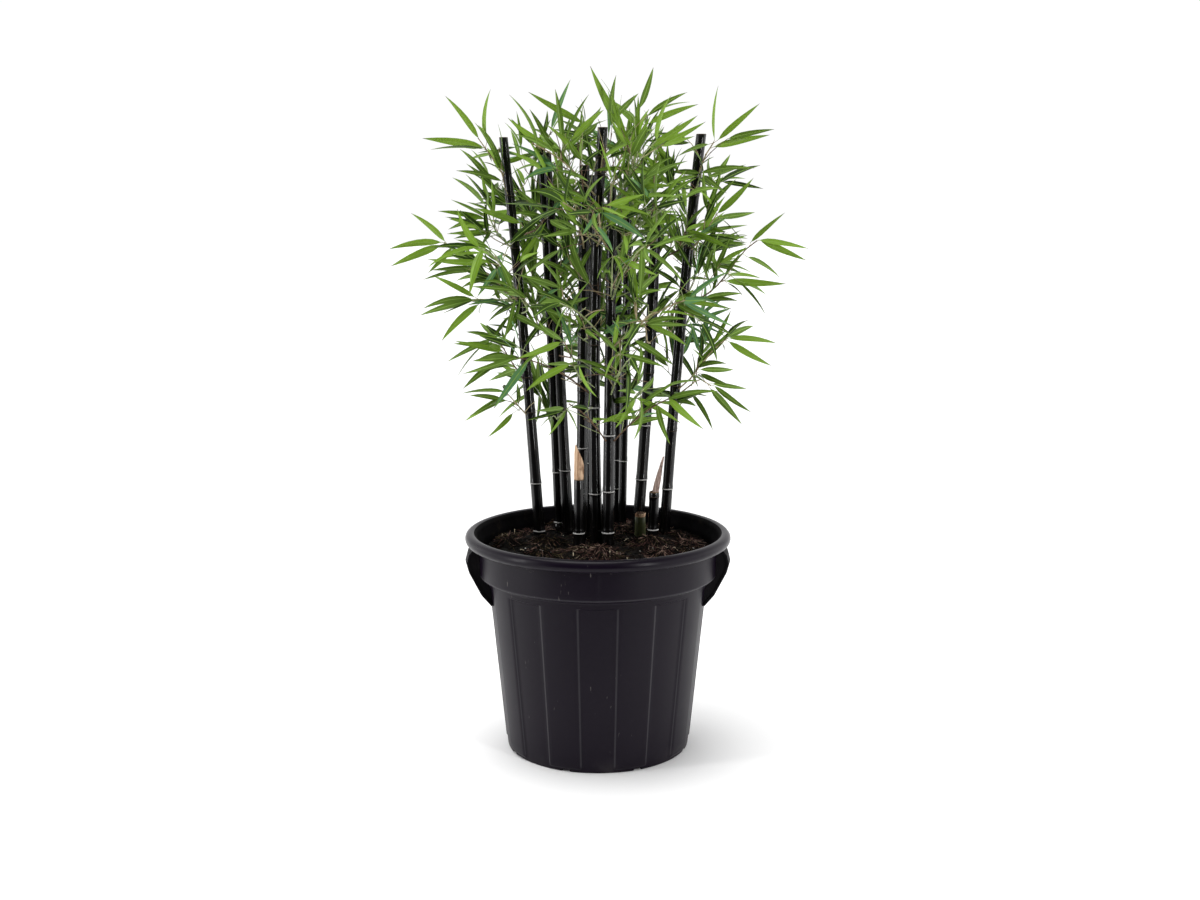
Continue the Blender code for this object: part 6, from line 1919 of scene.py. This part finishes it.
leaf_bundles, chance = [Bundle() for _ in GREENS], random.Random(31)
for growth in grown:
    for shoot in growth.shoots:
        green = deal_green_and_painted_shade(chance, shoot.line[-1])
        for leaf in shoot.leaves:
            if id(leaf) not in kept:
                continue
            tint = green if chance.random() < 0.8 else chance.choice((0, 1, 1, 2))
            leaf_bundles[growth.tints.get(id(leaf), tint)].add(*blade(leaf, chance))
names = ("young_leaves", "summer_leaves", "old_leaves", "blue_green_leaves")
spray_names = [spray.name for spray in sprays]
for name, bundle, green in zip(names, leaf_bundles, GREENS):
    bundle.build(name, [green, midrib, dry_tip], "leaf_green", spray_names, 60)

# %% [markdown]
# ## Twigs
# The shoots are thin, jointed and straw-coloured, brown deep in the crown and greener outside it.
# They are tubes along the lines of growth, a little thicker at every joint, because a smooth tube
# would look like wire.

# %% Twig finishes and shapes
TWIG_FINISHES = [mottled(*row, 160.0, (0.3, 0.7), 4.0, rough=(0.45, 0.2), relief=(0.3, 0.0003), shine=0.3)
                 for row in (("straw_twig", (0.20, 0.145, 0.070), (0.50, 0.42, 0.25)),
                             ("green_twig", (0.19, 0.24, 0.090), (0.42, 0.48, 0.24)),
                             ("brown_twig", (0.055, 0.030, 0.020), (0.22, 0.135, 0.080)))]
TWIG_WIDTHS = (0.00125, 0.00075, 0.00050)       # radius of a stem, a twig and a twiglet
JOINT_EVERY = (0.024, 0.015, 0.010)
JOINT_SHAPE = ((-0.0009, 1.0), (0.0, 1.45), (0.0009, 1.0))      # along the twig, times its radius
LEAST_STEP, TAPER = 0.0004, 0.30


def jointed_line(line, width, every):
    """The line with extra points at its joints, and the radius at each point."""
    total = sum((b - a).length for a, b in zip(line, line[1:]))
    count = max(1, round(total / every))
    points, radii = [], []
    for joint in range(count + 1):
        for offset, swell in JOINT_SHAPE:
            share = min(1.0, max(0.0, joint / count + offset / total))
            place = share * (len(line) - 1)
            step = min(len(line) - 2, int(place))
            point = line[step].lerp(line[step + 1], place - step)
            if points and (point - points[-1]).length < LEAST_STEP:
                continue
            points.append(point)
            radii.append(width * (1.0 - TAPER * share) * swell)
    return points, radii


twigs, chance = Bundle(), random.Random(41)
for growth in grown:
    for shoot in growth.shoots:
        line, radii = jointed_line(shoot.line, TWIG_WIDTHS[shoot.depth], JOINT_EVERY[shoot.depth])
        if len(line) > 1:
            draw, inner = chance.random(), 1.0 - min(1.0, from_axis(line[-1]) / 0.20)
            kind = 2 if draw < 0.10 + 0.35 * inner else (1 if draw > 0.55 + 0.25 * inner else 0)
            twigs.add(*tube(line, radii, 6), kind)
twigs.build("jointed_twigs", TWIG_FINISHES, "leaf_green", spray_names, 60)
